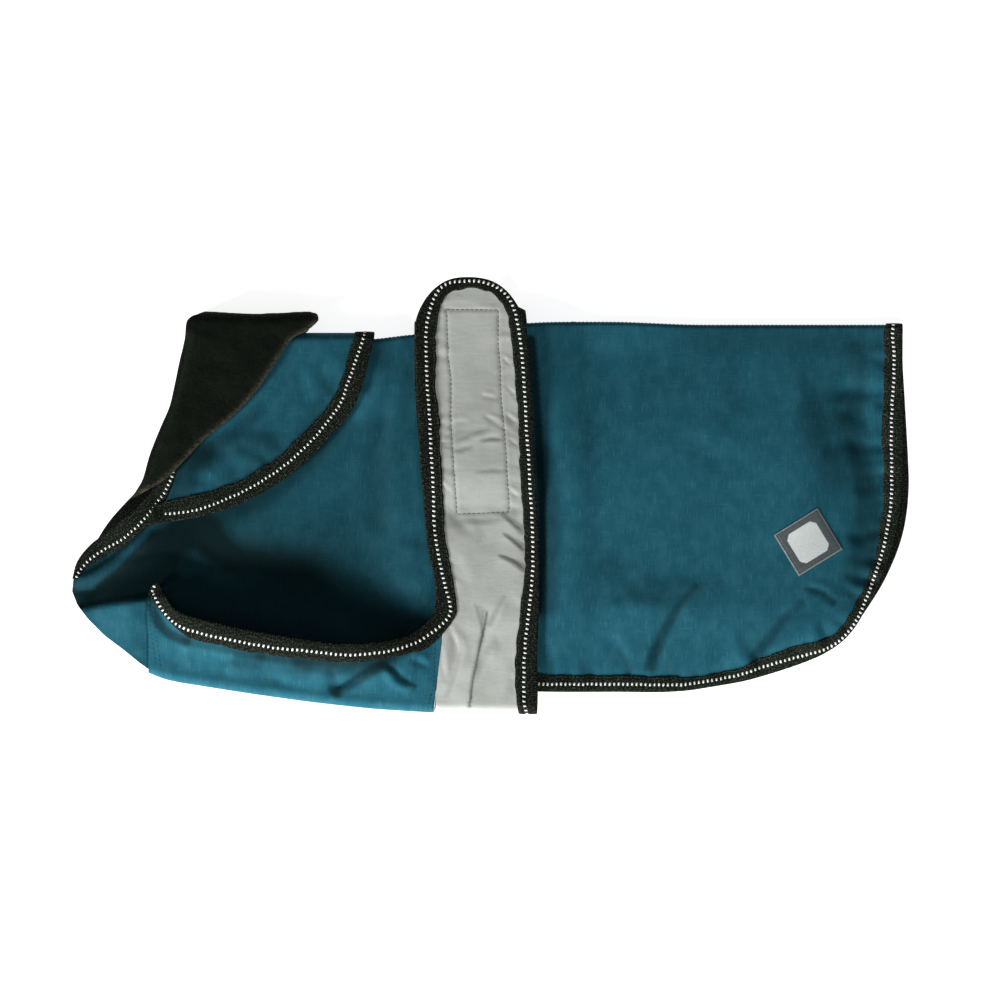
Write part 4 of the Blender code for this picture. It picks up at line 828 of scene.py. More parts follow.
class Tape:
    """Binding folded over an edge of a sheet: two leaves and the turn between them, with a ladder of blocks."""

    def __init__(self, name, sheet, chain, seed, inner=None, ladder=None, y_at=None, width=TAPE_WIDTH, fraction=0.52, taper=(0.0, 0.0), pitch=LADDER_PITCH):
        self.name, self.sheet, self.seed, self.pitch = name, sheet, seed, pitch
        outer = np.asarray(chain, float)
        n = len(outer)
        along = tangents(outer)
        normal = np.column_stack([-along[:, 1], along[:, 0]]) * sheet.sign
        arc = np.concatenate(([0.0], np.cumsum(np.hypot(*np.diff(outer, axis=0).T))))
        wide = np.full(n, float(width))
        share = np.full(n, float(fraction))
        on_near = outer[:, 1] > 6.0
        y = y_at(outer[:, 0], outer[:, 1]) if y_at is not None else outer[:, 1]
        if inner is not None:
            measured = distance_to(inner, outer[:, 0], y)
            good = on_near & (measured < 19.0)
            wide = np.where(good, np.clip(measured, 7.8, 15.6), wide)
            wide = steadied(wide, 7)
        wide = wide * (1.0 + 0.055 * lattice_noise(arc, 0 * arc, 11.0, seed)) + 0.5 * lattice_noise(arc, 0 * arc, 4.2, seed + 1)
        for length, gone in zip(taper, (arc, arc[-1] - arc)):
            if length:
                wide = wide * (0.35 + 0.65 * smooth(gone / length))
        if ladder is not None:
            best = np.full(n, 1e9)
            pick = share.copy()
            for k in np.linspace(0.2, 0.84, 33):
                q = outer + normal * (wide * (1.0 - k))[:, None]
                yq = y_at(q[:, 0], q[:, 1]) if y_at is not None else q[:, 1]
                d = distance_to(ladder, q[:, 0], yq)
                better = d < best
                best, pick = np.where(better, d, best), np.where(better, k, pick)
            share = np.where(on_near & (best < 6.0), pick, share)
            share = steadied(share, 6)
        self.outer, self.normal, self.arc, self.wide, self.share = outer, normal, arc, wide, share

    def at(self, k, height):
        """Points at share k of the width from the inner edge, and height above the middle of the cloth."""
        q = self.outer + self.normal * (self.wide * (1.0 - k))[:, None]
        p = self.sheet.place(q[:, 0], q[:, 1])
        n = normals_at(self.sheet.place, q[:, 0], q[:, 1], self.sheet.face)
        return p + n * height, n

    def body(self, mat):
        half = self.sheet.thickness / 2
        near, out = half + 0.10, half + 0.10 + TAPE
        top = ((0.0, near + 0.12), (0.012, out - 0.16), (0.05, out), (0.16, out + 0.05), (0.36, out + 0.12), (0.62, out + 0.14), (0.86, out + 0.08), (0.97, out - 0.02))
        shares = [k for k, _ in top] + [1.0]
        rows = {}
        for k in shares:
            rows[k] = self.at(k, 0.0)
        edge_p, edge_n = rows[1.0]
        lateral = edge_p - rows[0.86][0]
        lateral -= edge_n * (lateral * edge_n).sum(1, keepdims=True)
        lateral /= np.maximum(np.linalg.norm(lateral, axis=1, keepdims=True), 1e-9)
        loop, across = [], []
        for k, h in top:
            loop.append(rows[k][0] + rows[k][1] * h)
            across.append(k * TAPE_WIDTH)
        for turn_by in (62, 36, 0, -36, -62):
            a = math.radians(turn_by)
            loop.append(edge_p + lateral * (0.2 + 0.85 * math.cos(a)) + edge_n * (out * math.sin(a)))
            across.append(TAPE_WIDTH + 1.2 - turn_by / 62.0)
        for k, h in reversed(top):
            loop.append(rows[k][0] - rows[k][1] * h)
            across.append(2 * TAPE_WIDTH + 2.4 - k * TAPE_WIDTH)
        for k, h, e in ((0.0, -near, 0.0), (0.5, -near, 0.0), (1.0, -near * 0.9, 0.12), (1.0, near * 0.9, 0.12), (0.5, near, 0.0), (0.0, near, 0.0)):
            if k not in rows:
                rows[k] = self.at(k, 0.0)
            loop.append(rows[k][0] + rows[k][1] * h + lateral * e)
            across.append(2 * TAPE_WIDTH + 4.0)
        count, n = len(loop), len(self.outer)
        points = np.stack(loop, axis=1).reshape(-1, 3)
        faces = []
        j = np.arange(n - 1)[:, None] * count
        a = np.arange(count)[None, :]
        b = (a + 1) % count
        quads = np.stack([j + a, j + b, j + count + b, j + count + a], axis=-1).reshape(-1, 4)
        # Turned so that the faces look out.
        p0, p1, p3 = points[quads[:, 0]], points[quads[:, 1]], points[quads[:, 3]]
        middle = points.reshape(n, count, 3).mean(axis=1)
        first = quads[:count]
        outwards = (np.cross(p1[:count] - p0[:count], p3[:count] - p0[:count]) * (points[first[:, 0]] - middle[0])).sum()
        if outwards < 0:
            quads = quads[:, ::-1]
        cap = list(range(count))
        caps = [cap[::-1] if outwards > 0 else cap, [(n - 1) * count + c for c in (cap if outwards > 0 else cap[::-1])]]
        uv = np.stack([np.repeat(self.arc, count), np.tile(across, n)], axis=1)
        return build(self.name, points, [list(q) for q in quads] + caps, mat, uv, sharp=50.0)

    def track(self, k_share, height):
        """A line along the tape at a share of its width: points, tangents, outward direction, normal, arc length."""
        q = self.outer + self.normal * (self.wide * (1.0 - k_share))[:, None]
        p = self.sheet.place(q[:, 0], q[:, 1])
        n = normals_at(self.sheet.place, q[:, 0], q[:, 1], self.sheet.face)
        p = p + n * height
        arc = np.concatenate(([0.0], np.cumsum(np.linalg.norm(np.diff(p, axis=0), axis=1))))
        return p, n, arc

    def ladder(self, mat, length, width, slant=0.13, keep=None):
        p, n, arc = self.track(self.share, self.sheet.thickness / 2 + 0.10 + TAPE + 0.10)
        count = int(arc[-1] / self.pitch)
        at = (np.arange(count) + 0.5) * arc[-1] / count
        centre = np.column_stack([np.interp(at, arc, p[:, k]) for k in range(3)])
        up = np.column_stack([np.interp(at, arc, n[:, k]) for k in range(3)])
        ahead = np.column_stack([np.interp(at + 0.8, arc, p[:, k]) - np.interp(at - 0.8, arc, p[:, k]) for k in range(3)])
        if keep is not None:
            on = keep(centre)
            at, centre, up, ahead = at[on], centre[on], up[on], ahead[on]
            count = len(at)
        up /= np.linalg.norm(up, axis=1, keepdims=True)
        ahead -= up * (ahead * up).sum(1, keepdims=True)
        ahead /= np.maximum(np.linalg.norm(ahead, axis=1, keepdims=True), 1e-9)
        side = np.cross(up, ahead)
        rng = np.random.RandomState(self.seed + 7)
        wob = rng.rand(count, 4) - 0.5
        angle = (np.arange(10) + 0.5) / 10 * 2 * math.pi
        cx = np.sign(np.cos(angle)) * np.abs(np.cos(angle)) ** 0.62
        cy = np.sign(np.sin(angle)) * np.abs(np.sin(angle)) ** 0.62
        rings = ((1.0, -0.22), (0.97, 0.12), (0.72, 0.30))
        points = []
        for grow, h in rings:
            for u, v in zip(cx * grow, cy * grow):
                l = 0.5 * length * (1.0 + 0.16 * wob[:, 0])
                w = 0.5 * width * (1.0 + 0.12 * wob[:, 1])
                points.append(centre + ahead * (u * l + v * w * slant * (1 + 0.5 * wob[:, 2]))[:, None] + side * (v * w)[:, None] + up * (h * (1 + 0.3 * wob[:, 3]))[:, None])
        points.append(centre + up * 0.34)
        k = len(points)
        points = np.stack(points, axis=1).reshape(-1, 3)
        faces = []
        for r in range(2):
            for i in range(10):
                j = (i + 1) % 10
                faces.append((r * 10 + i, r * 10 + j, (r + 1) * 10 + j))
                faces.append((r * 10 + i, (r + 1) * 10 + j, (r + 1) * 10 + i))
        for i in range(10):
            faces.append((20 + i, 20 + (i + 1) % 10, 30))
        for i in range(1, 9):
            faces.append((0, i + 1, i))
        faces = (np.array(faces)[None] + (np.arange(count) * k)[:, None, None]).reshape(-1, 3)
        uv = np.column_stack([np.repeat(at, k), np.tile(np.concatenate([cy, cy, cy, [0]]), count)])
        return build(self.name + "_ladder", points, faces, mat, uv, sharp=80.0)


def thread(name, lines, mat, stitch=2.7, gap=0.75, radius=0.2, sides=5):
    """Stitches along lines given as (points, normals), as one mesh of small capsules that dip into the cloth."""
    points, faces, uv = [], [], []
    base = 0
    for p, n in lines:
        arc = np.concatenate(([0.0], np.cumsum(np.linalg.norm(np.diff(p, axis=0), axis=1))))
        count = max(1, int(arc[-1] / (stitch + gap)))
        whole = arc[-1] / count
        for k in range(count):
            at = (k + np.array([0.02, 0.14, 0.5, 0.86, 0.98]) * stitch / (stitch + gap) + 0.11) * whole
            c = np.column_stack([np.interp(at, arc, p[:, i]) for i in range(3)])
            up = np.column_stack([np.interp(at, arc, n[:, i]) for i in range(3)])
            up /= np.linalg.norm(up, axis=1, keepdims=True)
            ahead = c[-1] - c[0]
            ahead /= max(np.linalg.norm(ahead), 1e-9)
            side = np.cross(up, ahead)
            side /= np.linalg.norm(side, axis=1, keepdims=True)
            size = radius * np.array([0.25, 0.85, 1.0, 0.85, 0.25])
            rise = radius * np.array([-0.9, 0.1, 0.45, 0.1, -0.9])
            for i in range(5):
                for j in range(sides):
                    a = 2 * math.pi * j / sides
                    points.append(c[i] + up[i] * (rise[i] + size[i] * math.sin(a)) + side[i] * (size[i] * math.cos(a)))
                    uv.append((at[i], j))
            for i in range(4):
                for j in range(sides):
                    q = (j + 1) % sides
                    faces.append((base + i * sides + j, base + i * sides + q, base + (i + 1) * sides + q, base + (i + 1) * sides + j))
            base += 5 * sides
    faces = np.array(faces)
    faces = np.concatenate([faces[:, [0, 2, 1]], faces[:, [0, 3, 2]]])
    return build(name, np.array(points), faces, mat, np.array(uv, float), sharp=80.0)


# ---------------------------------------------------------------- materials
class Nodes:
    """A small helper to write node trees as expressions."""

    def __init__(self, name):
        self.mat = bpy.data.materials.new(name)
        self.mat.use_nodes = True
        self.tree = self.mat.node_tree
        self.shader = self.tree.nodes["Principled BSDF"]

    def new(self, kind, **values):
        node = self.tree.nodes.new(kind)
        for key, value in values.items():
            setattr(node, key, value)
        return node

    def link(self, value, socket):
        if isinstance(value, bpy.types.NodeSocket):
            self.tree.links.new(value, socket)
        elif value is not None:
            socket.default_value = value

    def math(self, operation, a, b=None, c=None, clamp=False):
        node = self.new("ShaderNodeMath", operation=operation, use_clamp=clamp)
        for value, socket in zip((a, b, c), node.inputs):
            self.link(value, socket)
        return node.outputs[0]

    def noise(self, vector, scale, detail=2.0, rough=0.5, distortion=0.0):
        node = self.new("ShaderNodeTexNoise")
        self.link(vector, node.inputs["Vector"])
        node.inputs["Scale"].default_value = scale
        node.inputs["Detail"].default_value = detail
        node.inputs["Roughness"].default_value = rough
        node.inputs["Distortion"].default_value = distortion
        return node.outputs["Fac"]

    def scaled(self, vector, by):
        node = self.new("ShaderNodeVectorMath", operation="MULTIPLY")
        self.link(vector, node.inputs[0])
        node.inputs[1].default_value = by
        return node.outputs[0]

    def split(self, vector):
        node = self.new("ShaderNodeSeparateXYZ")
        self.link(vector, node.inputs[0])
        return node.outputs

    def span(self, value, low, high, to_low=0.0, to_high=1.0, kind="SMOOTHSTEP"):
        node = self.new("ShaderNodeMapRange", interpolation_type=kind)
        self.link(value, node.inputs["Value"])
        for key, number in (("From Min", low), ("From Max", high), ("To Min", to_low), ("To Max", to_high)):
            node.inputs[key].default_value = number
        return node.outputs["Result"]

    def mix(self, share, a, b, blend="MIX"):
        node = self.new("ShaderNodeMix", data_type="RGBA", blend_type=blend)
        self.link(share, node.inputs["Factor"])
        for value, socket in ((a, node.inputs["A"]), (b, node.inputs["B"])):
            self.link((*value, 1.0) if isinstance(value, tuple) else value, socket)
        return node.outputs["Result"]

    def attribute(self, name):
        return self.new("ShaderNodeAttribute", attribute_name=name).outputs["Fac"]

    def uv(self):
        """The pattern coordinates, in millimetres."""
        return self.scaled(self.new("ShaderNodeUVMap", uv_map="weave").outputs["UV"], (1000.0, 1000.0, 1000.0))

    def place(self):
        """The place on the object, in millimetres."""
        return self.scaled(self.new("ShaderNodeTexCoord").outputs["Object"], (1000.0, 1000.0, 1000.0))

    def bump(self, height, distance, strength=1.0, normal=None):
        node = self.new("ShaderNodeBump")
        self.link(height, node.inputs["Height"])
        node.inputs["Distance"].default_value = distance * MM
        node.inputs["Strength"].default_value = strength
        if normal is not None:
            self.link(normal, node.inputs["Normal"])
        return node.outputs["Normal"]

    def finish(self, colour=None, roughness=None, normal=None, **constants):
        for key, value in (("Base Color", colour), ("Roughness", roughness), ("Normal", normal)):
            self.link((*value, 1.0) if isinstance(value, tuple) else value, self.shader.inputs[key])
        for key, value in constants.items():
            self.shader.inputs[key.replace("_", " ")].default_value = value
        return self.mat


def wave(m, value, pitch):
    """0 to 1 and back over one pitch."""
    a = m.math("MULTIPLY", value, 2.0 * math.pi / pitch)
    return m.math("MULTIPLY_ADD", m.math("SINE", a), 0.5, 0.5)


def line_every(m, value, pitch, width):
    """1 on a thin line at each pitch."""
    folded = m.math("PINGPONG", value, pitch / 2.0)
    return m.span(folded, width / 2.0, width, 1.0, 0.0)


def ripstop(name, base, light, dark, shade=None, rough=0.58, strength=1.0):
    m = Nodes(name)
    uv = m.uv()
    x, s, _ = m.split(uv)
    jitter = m.noise(m.scaled(uv, (0.02, 0.02, 0.02)), 1.0, 2.0)
    # Thick and thin threads: short streaks along the width, fewer along the length.
    streak_s = m.noise(m.scaled(uv, (1.1, 0.085, 1.0)), 1.0, 2.0, 0.6)
    streak_x = m.noise(m.scaled(uv, (0.075, 1.1, 1.0)), 1.0, 2.0, 0.6)
    grid_x = line_every(m, x, 5.2, 0.55)
    grid_s = line_every(m, s, 5.2, 0.55)
    warp, weft = wave(m, x, 0.66), wave(m, s, 0.66)
    weave = m.math("ADD", m.math("MULTIPLY", warp, weft), m.math("MULTIPLY", m.math("MULTIPLY_ADD", warp, -1.0, 1.0), m.math("MULTIPLY_ADD", weft, -1.0, 1.0)))
    blotch = m.noise(m.scaled(uv, (0.016, 0.016, 1.0)), 1.0, 3.0, 0.55)
    small = m.noise(m.scaled(uv, (0.11, 0.075, 1.0)), 1.0, 2.0, 0.5)
    colour = m.mix(m.span(blotch, 0.3, 0.7, 0.45, 1.0), dark, base)
    colour = m.mix(m.math("MULTIPLY", m.span(small, 0.35, 0.75), 0.35), colour, light)
    colour = m.mix(m.math("MULTIPLY", m.span(streak_s, 0.57, 0.70), 0.74), colour, light)
    colour = m.mix(m.math("MULTIPLY", m.span(streak_s, 0.40, 0.28), 0.45), colour, dark)
    colour = m.mix(m.math("MULTIPLY", m.span(streak_x, 0.59, 0.71), 0.52), colour, light)
    colour = m.mix(m.math("MULTIPLY", m.math("MAXIMUM", grid_x, grid_s), 0.02), colour, dark)
    colour = m.mix(m.math("MULTIPLY", weave, 0.06), colour, light)
    # Painted shade: the colour darkens towards near-black teal by the per-vertex shade share, standing in for shade in
    # hollows, creases and beside raised parts.
    if shade:
        deep = m.attribute(shade)
        colour = m.mix(deep, colour, (0.0005, 0.0062, 0.0063))
    height = m.math("ADD", m.math("MULTIPLY", weave, 0.2), m.math("MULTIPLY", m.math("MAXIMUM", grid_x, grid_s), 0.08))
    height = m.math("ADD", height, m.math("MULTIPLY", streak_s, 0.9))
    height = m.math("ADD", height, m.math("MULTIPLY", streak_x, 0.6))
    normal = m.bump(height, 0.11 * strength)
    normal = m.bump(m.noise(m.scaled(uv, (0.16, 0.13, 1.0)), 1.0, 3.0, 0.55), 0.16 * strength, 0.6, normal)
    roughness = m.math("ADD", m.span(jitter, 0.3, 0.7, rough - 0.05, rough + 0.07), m.math("MULTIPLY", streak_s, 0.06))
    return m.finish(colour, roughness, normal, Specular_IOR_Level=0.06)


def reflective(name):
    m = Nodes(name)
    uv = m.uv()
    x, s, _ = m.split(uv)
    fine = m.noise(m.scaled(uv, (1.6, 0.12, 1.0)), 1.0, 2.0, 0.6)
    cross = m.noise(m.scaled(uv, (0.08, 0.9, 1.0)), 1.0, 2.0, 0.6)
    blotch = m.noise(m.scaled(uv, (0.03, 0.022, 1.0)), 1.0, 3.0, 0.5)
    weave = m.math("MULTIPLY", wave(m, x, 0.7), wave(m, s, 0.7))
    colour = m.mix(m.span(blotch, 0.3, 0.7), (0.475, 0.497, 0.458), (0.555, 0.578, 0.540))
    colour = m.mix(m.math("MULTIPLY", m.span(fine, 0.4, 0.75), 0.25), colour, (0.64, 0.66, 0.63))
    colour = m.mix(m.math("MULTIPLY", m.span(cross, 0.5, 0.8), 0.18), colour, (0.38, 0.40, 0.38))
    soil = m.noise(m.scaled(uv, (0.05, 0.04, 1.0)), 1.0, 4.0, 0.6)
    colour = m.mix(m.math("MULTIPLY", m.span(soil, 0.58, 0.8), 0.2), colour, (0.36, 0.37, 0.33))
    # Painted shade: the grey darkens by the per-vertex shade share where shade falls in the strap's creases, tucks and
    # beside its stitching.
    colour = m.mix(m.attribute("deep"), colour, (0.085, 0.092, 0.082))
    height = m.math("ADD", m.math("MULTIPLY", weave, 0.5), m.math("MULTIPLY", fine, 0.5))
    normal = m.bump(height, 0.06)
    normal = m.bump(m.noise(m.scaled(uv, (0.10, 0.33, 1.0)), 1.0, 4.0, 0.6, 0.5), 0.22, 0.7, normal)
    return m.finish(colour, m.span(cross, 0.3, 0.7, 0.55, 0.68), normal, Metallic=0.12, Specular_IOR_Level=0.3)


def ribbed_tape(name, tone=1.0):
    shade = lambda r, g, b: (0.93 * tone * r, 1.05 * tone * g, 0.97 * tone * b)
    m = Nodes(name)
    uv = m.uv()
    u, v, _ = m.split(uv)
    sway = m.math("MULTIPLY", m.noise(m.scaled(uv, (0.2, 0.5, 1.0)), 1.0), 2.4)
    rib = wave(m, m.math("ADD", u, sway), 1.75)
    fleck = m.noise(m.scaled(uv, (1.0, 0.8, 1.0)), 1.0, 2.0, 0.7)
    grain = m.noise(m.scaled(uv, (0.62, 0.95, 1.0)), 1.0, 3.0, 0.7)
    band = wave(m, v, 2.6)
    colour = m.mix(m.span(fleck, 0.48, 0.68), shade(0.0034, 0.0046, 0.0034), shade(0.066, 0.074, 0.056))
    colour = m.mix(m.math("MULTIPLY", m.span(grain, 0.54, 0.70), 0.7), colour, shade(0.150, 0.156, 0.122))
    colour = m.mix(m.math("MULTIPLY", m.span(grain, 0.46, 0.34), 0.85), colour, shade(0.0024, 0.0036, 0.0028))
    colour = m.mix(m.math("MULTIPLY", rib, 0.30), colour, shade(0.010, 0.012, 0.009))
    height = m.math("ADD", m.math("MULTIPLY", rib, 0.5), m.math("MULTIPLY", fleck, 1.1))
    height = m.math("ADD", height, m.math("MULTIPLY", band, 0.2))
    normal = m.bump(height, 0.30)
    return m.finish(colour, m.span(fleck, 0.3, 0.7, 0.75, 0.92), normal, Specular_IOR_Level=0.06)


def block_white(name):
    m = Nodes(name)
    uv = m.uv()
    u, _, _ = m.split(uv)
    grain = m.noise(m.scaled(uv, (3.0, 3.0, 1.0)), 1.0, 2.0)
    per = m.noise(m.scaled(uv, (0.33, 0.0, 1.0)), 1.0, 2.0, 0.7)
    colour = m.mix(m.span(grain, 0.3, 0.7), (0.74, 0.77, 0.74), (0.90, 0.92, 0.89))
    colour = m.mix(m.math("MULTIPLY", m.span(per, 0.52, 0.8), 0.5), colour, (0.46, 0.48, 0.45))
    return m.finish(colour, m.span(grain, 0.3, 0.7, 0.35, 0.55), m.bump(grain, 0.08), Specular_IOR_Level=0.5)


def fleece_nap(name):
    m = Nodes(name)
    at = m.place()
    tuft = m.noise(m.scaled(at, (0.55, 0.55, 0.55)), 1.0, 4.0, 0.65, 0.6)
    fibre = m.noise(m.scaled(at, (2.6, 2.6, 2.6)), 1.0, 3.0, 0.7)
    broad = m.noise(m.scaled(at, (0.05, 0.05, 0.05)), 1.0, 3.0, 0.5)
    rim = m.attribute("rim")
    colour = m.mix(m.span(tuft, 0.35, 0.7), (0.0010, 0.0024, 0.0012), (0.0038, 0.0066, 0.0034))
    colour = m.mix(m.math("MULTIPLY", m.span(fibre, 0.5, 0.8), 0.5), colour, (0.0088, 0.0112, 0.0068))
    colour = m.mix(m.math("MULTIPLY", m.span(broad, 0.35, 0.7), 0.35), colour, (0.0052, 0.0086, 0.0052))
    colour = m.mix(m.math("MULTIPLY", rim, m.span(tuft, 0.35, 0.62, 0.15, 1.0)), colour, (0.066, 0.063, 0.043))
    height = m.math("ADD", m.math("MULTIPLY", tuft, 1.0), m.math("MULTIPLY", fibre, 0.35))
    normal = m.bump(height, 0.9, 0.9)
    return m.finish(colour, 0.95, normal, Specular_IOR_Level=0.06, Sheen_Weight=0.05, Sheen_Roughness=0.65, Sheen_Tint=(0.55, 0.6, 0.5, 1.0))


def plain_patch(name):
    """A woven reflective patch: dark hemmed border, plain field and a plain lighter lozenge."""
    m = Nodes(name)
    uv = m.uv()
    u, v, _ = m.split(uv)
    au, av = m.math("ABSOLUTE", u), m.math("ABSOLUTE", v)
    edge = m.math("MINIMUM", m.math("SUBTRACT", LABEL_SIDES[0] / 2, au), m.math("SUBTRACT", LABEL_SIDES[1] / 2, av))
    cell = m.new("ShaderNodeTexVoronoi", feature="DISTANCE_TO_EDGE")
    m.link(m.scaled(uv, (0.55, 0.55, 1.0)), cell.inputs["Vector"])
    cell.inputs["Scale"].default_value = 1.0
    cell.inputs["Randomness"].default_value = 0.25
    net = m.span(cell.outputs["Distance"], 0.03, 0.09, 1.0, 0.0)
    grain = m.noise(m.scaled(uv, (1.4, 1.4, 1.0)), 1.0, 3.0, 0.6)
    colour = m.mix(m.span(grain, 0.3, 0.7), (0.045, 0.060, 0.064), (0.115, 0.140, 0.142))
    colour = m.mix(m.math("MULTIPLY", net, 0.35), colour, (0.07, 0.085, 0.085))
    lozenge = m.span(m.math("MAXIMUM", m.math("MAXIMUM", au, av), m.math("MULTIPLY", m.math("ADD", au, av), 0.58)), 12.6, 13.2, 1.0, 0.0)
    light = m.mix(m.span(grain, 0.3, 0.7), (0.62, 0.67, 0.66), (0.82, 0.86, 0.85))
    light = m.mix(m.math("MULTIPLY", net, 0.22), light, (0.22, 0.25, 0.25))
    colour = m.mix(lozenge, colour, light)
    colour = m.mix(m.span(edge, 0.9, 1.3, 0.8, 0.0), colour, (0.30, 0.34, 0.34))
    colour = m.mix(m.span(edge, 0.1, 0.4, 1.0, 0.0), colour, (0.020, 0.030, 0.032))
    height = m.math("ADD", m.math("MULTIPLY", grain, 0.5), m.math("MULTIPLY", net, -0.5))
    height = m.math("ADD", height, m.math("MULTIPLY", lozenge, 0.8))
    return m.finish(colour, m.span(grain, 0.3, 0.7, 0.36, 0.5), m.bump(height, 0.12), Metallic=0.15)


def plain_thread(name, colour, lighter):
    m = Nodes(name)
    uv = m.uv()
    twist = m.noise(m.scaled(uv, (2.4, 0.6, 1.0)), 1.0, 2.0)
    return m.finish(m.mix(m.span(twist, 0.35, 0.7), colour, lighter), 0.6, m.bump(twist, 0.05))


TEAL_DARK, TEAL_BASE, TEAL_LIGHT = (0.0085, 0.0740, 0.1060), (0.0125, 0.0950, 0.1370), (0.0330, 0.1480, 0.1900)
TEAL = ripstop("teal_ripstop", TEAL_BASE, TEAL_LIGHT, TEAL_DARK, shade="deep")
# Painted light: the chest panel gets a lighter copy of the same ripstop, standing in for the light on its slope.
TEAL_CHEST_PAINTED_LIGHT = ripstop("teal_ripstop_chest_painted_light", *(tuple(1.20 * c for c in tone) for tone in (TEAL_BASE, TEAL_LIGHT, TEAL_DARK)), shade="deep")
# Painted shade: the collar gets a darker copy of the same ripstop.
TEAL_COLLAR_PAINTED_SHADE = ripstop("teal_ripstop_collar_painted_shade", *(tuple(0.95 * c for c in tone) for tone in (TEAL_BASE, TEAL_LIGHT, TEAL_DARK)), shade="deep")
GREY = reflective("silver_grey_cloth")
BLACK = ribbed_tape("black_ribbed_tape")
# Painted shade: the belly and collar bindings get a darker copy of the same tape.
BLACK_TAPE_PAINTED_SHADE = ribbed_tape("black_ribbed_tape_painted_shade", 0.70)
# Painted shadow: the far neck binding gets a much darker copy of the same tape, standing in for the shadow it lies in.
BLACK_TAPE_PAINTED_SHADOW = ribbed_tape("black_ribbed_tape_painted_shadow", 0.3)
BLOCK = block_white("reflective_blocks")
NAP = fleece_nap("black_fleece_nap")
PATCH = plain_patch("grey_patch")
GREY_THREAD = plain_thread("grey_thread", (0.045, 0.048, 0.043), (0.10, 0.11, 0.10))
TEAL_THREAD = plain_thread("teal_thread", (0.009, 0.066, 0.092), (0.018, 0.105, 0.14))
BLACK_THREAD = plain_thread("black_thread", (0.010, 0.010, 0.009), (0.03, 0.03, 0.027))


# ---------------------------------------------------------------- the pieces
def laid(fold, rows, side):
    return [(float(x), float(fold.pattern(np.float64(x), np.float64(y), side))) for x, y in rows]


everywhere = lambda x, s: np.ones(np.shape(x), bool)
near_fold = lambda reach: (lambda x, s: np.abs(s) < reach)
near_half = lambda x, s: s > 0

back = Fold(spine_y, near_back, far_back, 1.0, near_back_0, far_back_0)
near_neck, far_neck = laid(back, NECK_EDGE, 1), laid(back, NECK_EDGE_FAR, -1)
front, far_front = laid(back, FRONT_SEAM, 1), laid(back, FRONT_SEAM, -1)
bound_hem = [q for q in HEM if q[0] > HEM_BOUND_FROM_X]
bound_hem_far = [q for q in HEM_FAR if q[0] > HEM_BOUND_FROM_X]
rear = laid(back, bound_hem, 1) + [(313.0, 30.0), (313.2, 0.0), (313.4, -30.0)] + laid(back, bound_hem_far[::-1], -1)
NB = 6
back_sheet = Sheet(back.place, [
    ("hem", rounded(rear)),
    ("far_front", [laid(back, bound_hem_far[:1], -1)[0]] + far_front[::-1]),
    ("far_corner", [far_front[0], far_neck[-1]]),
    ("neck_far", rounded(far_neck[NB - 1:][::-1])),
    ("far_collar", rounded(far_neck[:NB][::-1])),
    ("top", [far_neck[0], (-216.5, 0.0), near_neck[0]]),
    ("near_collar", rounded(near_neck[:NB])),
    ("neck_near", rounded(near_neck[NB - 1:])),
    ("near_corner", [near_neck[-1], front[0]]),
    ("near_front", front + [laid(back, bound_hem[:1], 1)[0]]),
], [(near_fold(17.0), 3.0, 1.5), (near_half, 2.7, 2.4), (everywhere, 5.5, 4.8)], SHELL, step=1.9, far_step=3.6)


def painted_shade_share(fold, rows, broad=None):
    """The share of painted shade at each vertex of a folded sheet's near half."""
    def share(x, s):
        x, s = np.asarray(x, float), np.asarray(s, float)
        y = fold.flat_y(x, s)
        out = np.zeros(np.broadcast(x, s).shape)
        on = s > 0
        out[on] = shades(rows, x[on], y[on])
        if broad is not None:
            out[on] = 1.0 - (1.0 - out[on]) * (1.0 - broad(x[on], y[on]))
        return np.clip(out, 0.0, 0.97)
    return share


coat_back = back_sheet.shell("back_panel_cloth", TEAL, attributes=[("deep", painted_shade_share(back, BACK_SHADES, pocket_painted_shade))])

belly = WingFold(belly_y, near_belly, far_belly, -1.0, near_belly_0, far_belly)
chest_near, chest_far = laid(belly, CHEST_EDGE, 1), laid(belly, CHEST_EDGE, -1)
strap_near = laid(belly, STRAP_LEFT + STRAP_TOP + STRAP_RIGHT, 1)
tail = belly.tail_pattern(-10.0, WING_TAIL_Y)
far_left = laid(belly, STRAP_LEFT, -1) + [(-56.0, belly.tail_pattern(-50.0, 110.0)), (-55.0, belly.tail_pattern(-50.0, 70.0))]
far_right = [(28.0, belly.tail_pattern(20.0, 70.0)), (26.0, belly.tail_pattern(20.0, 120.0)), (26.2, float(-(belly.upper_start(np.float64(20.0))[0] + 10.0)))] + [(x + 0.8, s) for x, s in laid(belly, [r for r in STRAP_RIGHT if r[1] < 100], -1)]
far_tail = [(-50.5, tail + 19.0), (-43.0, tail + 5.0), (-29.0, tail - 3.5), (-11.0, tail - 6.0), (7.0, tail - 3.5), (20.0, tail + 5.0), (27.5, tail + 19.0)]
bound = chest_near + strap_near + [(35.4, 0.0)] + far_right[::-1] + far_tail[::-1] + far_left[::-1] + chest_far[::-1]
front_lap = laid(belly, CHEST_LAP, -1)[::-1] + [(-259.0, -4.0), (-259.0, 4.0)] + laid(belly, CHEST_LAP, 1)
wing_begin, wing_radius = (float(v) for v in belly.upper_start(np.float64(-10.0)))
wing_mid = -(wing_begin + wing_radius * math.pi / 2)
seam_rows = [(float(np.interp(y, SEAM_X["y"], SEAM_X["x"])), float(belly.pattern(np.float64(np.interp(y, SEAM_X["y"], SEAM_X["x"])), np.float64(y), 1))) for y in (-86.0, -100.0, -113.0, -130.0, -150.0)]
seam_s = seam_rows[0][1]


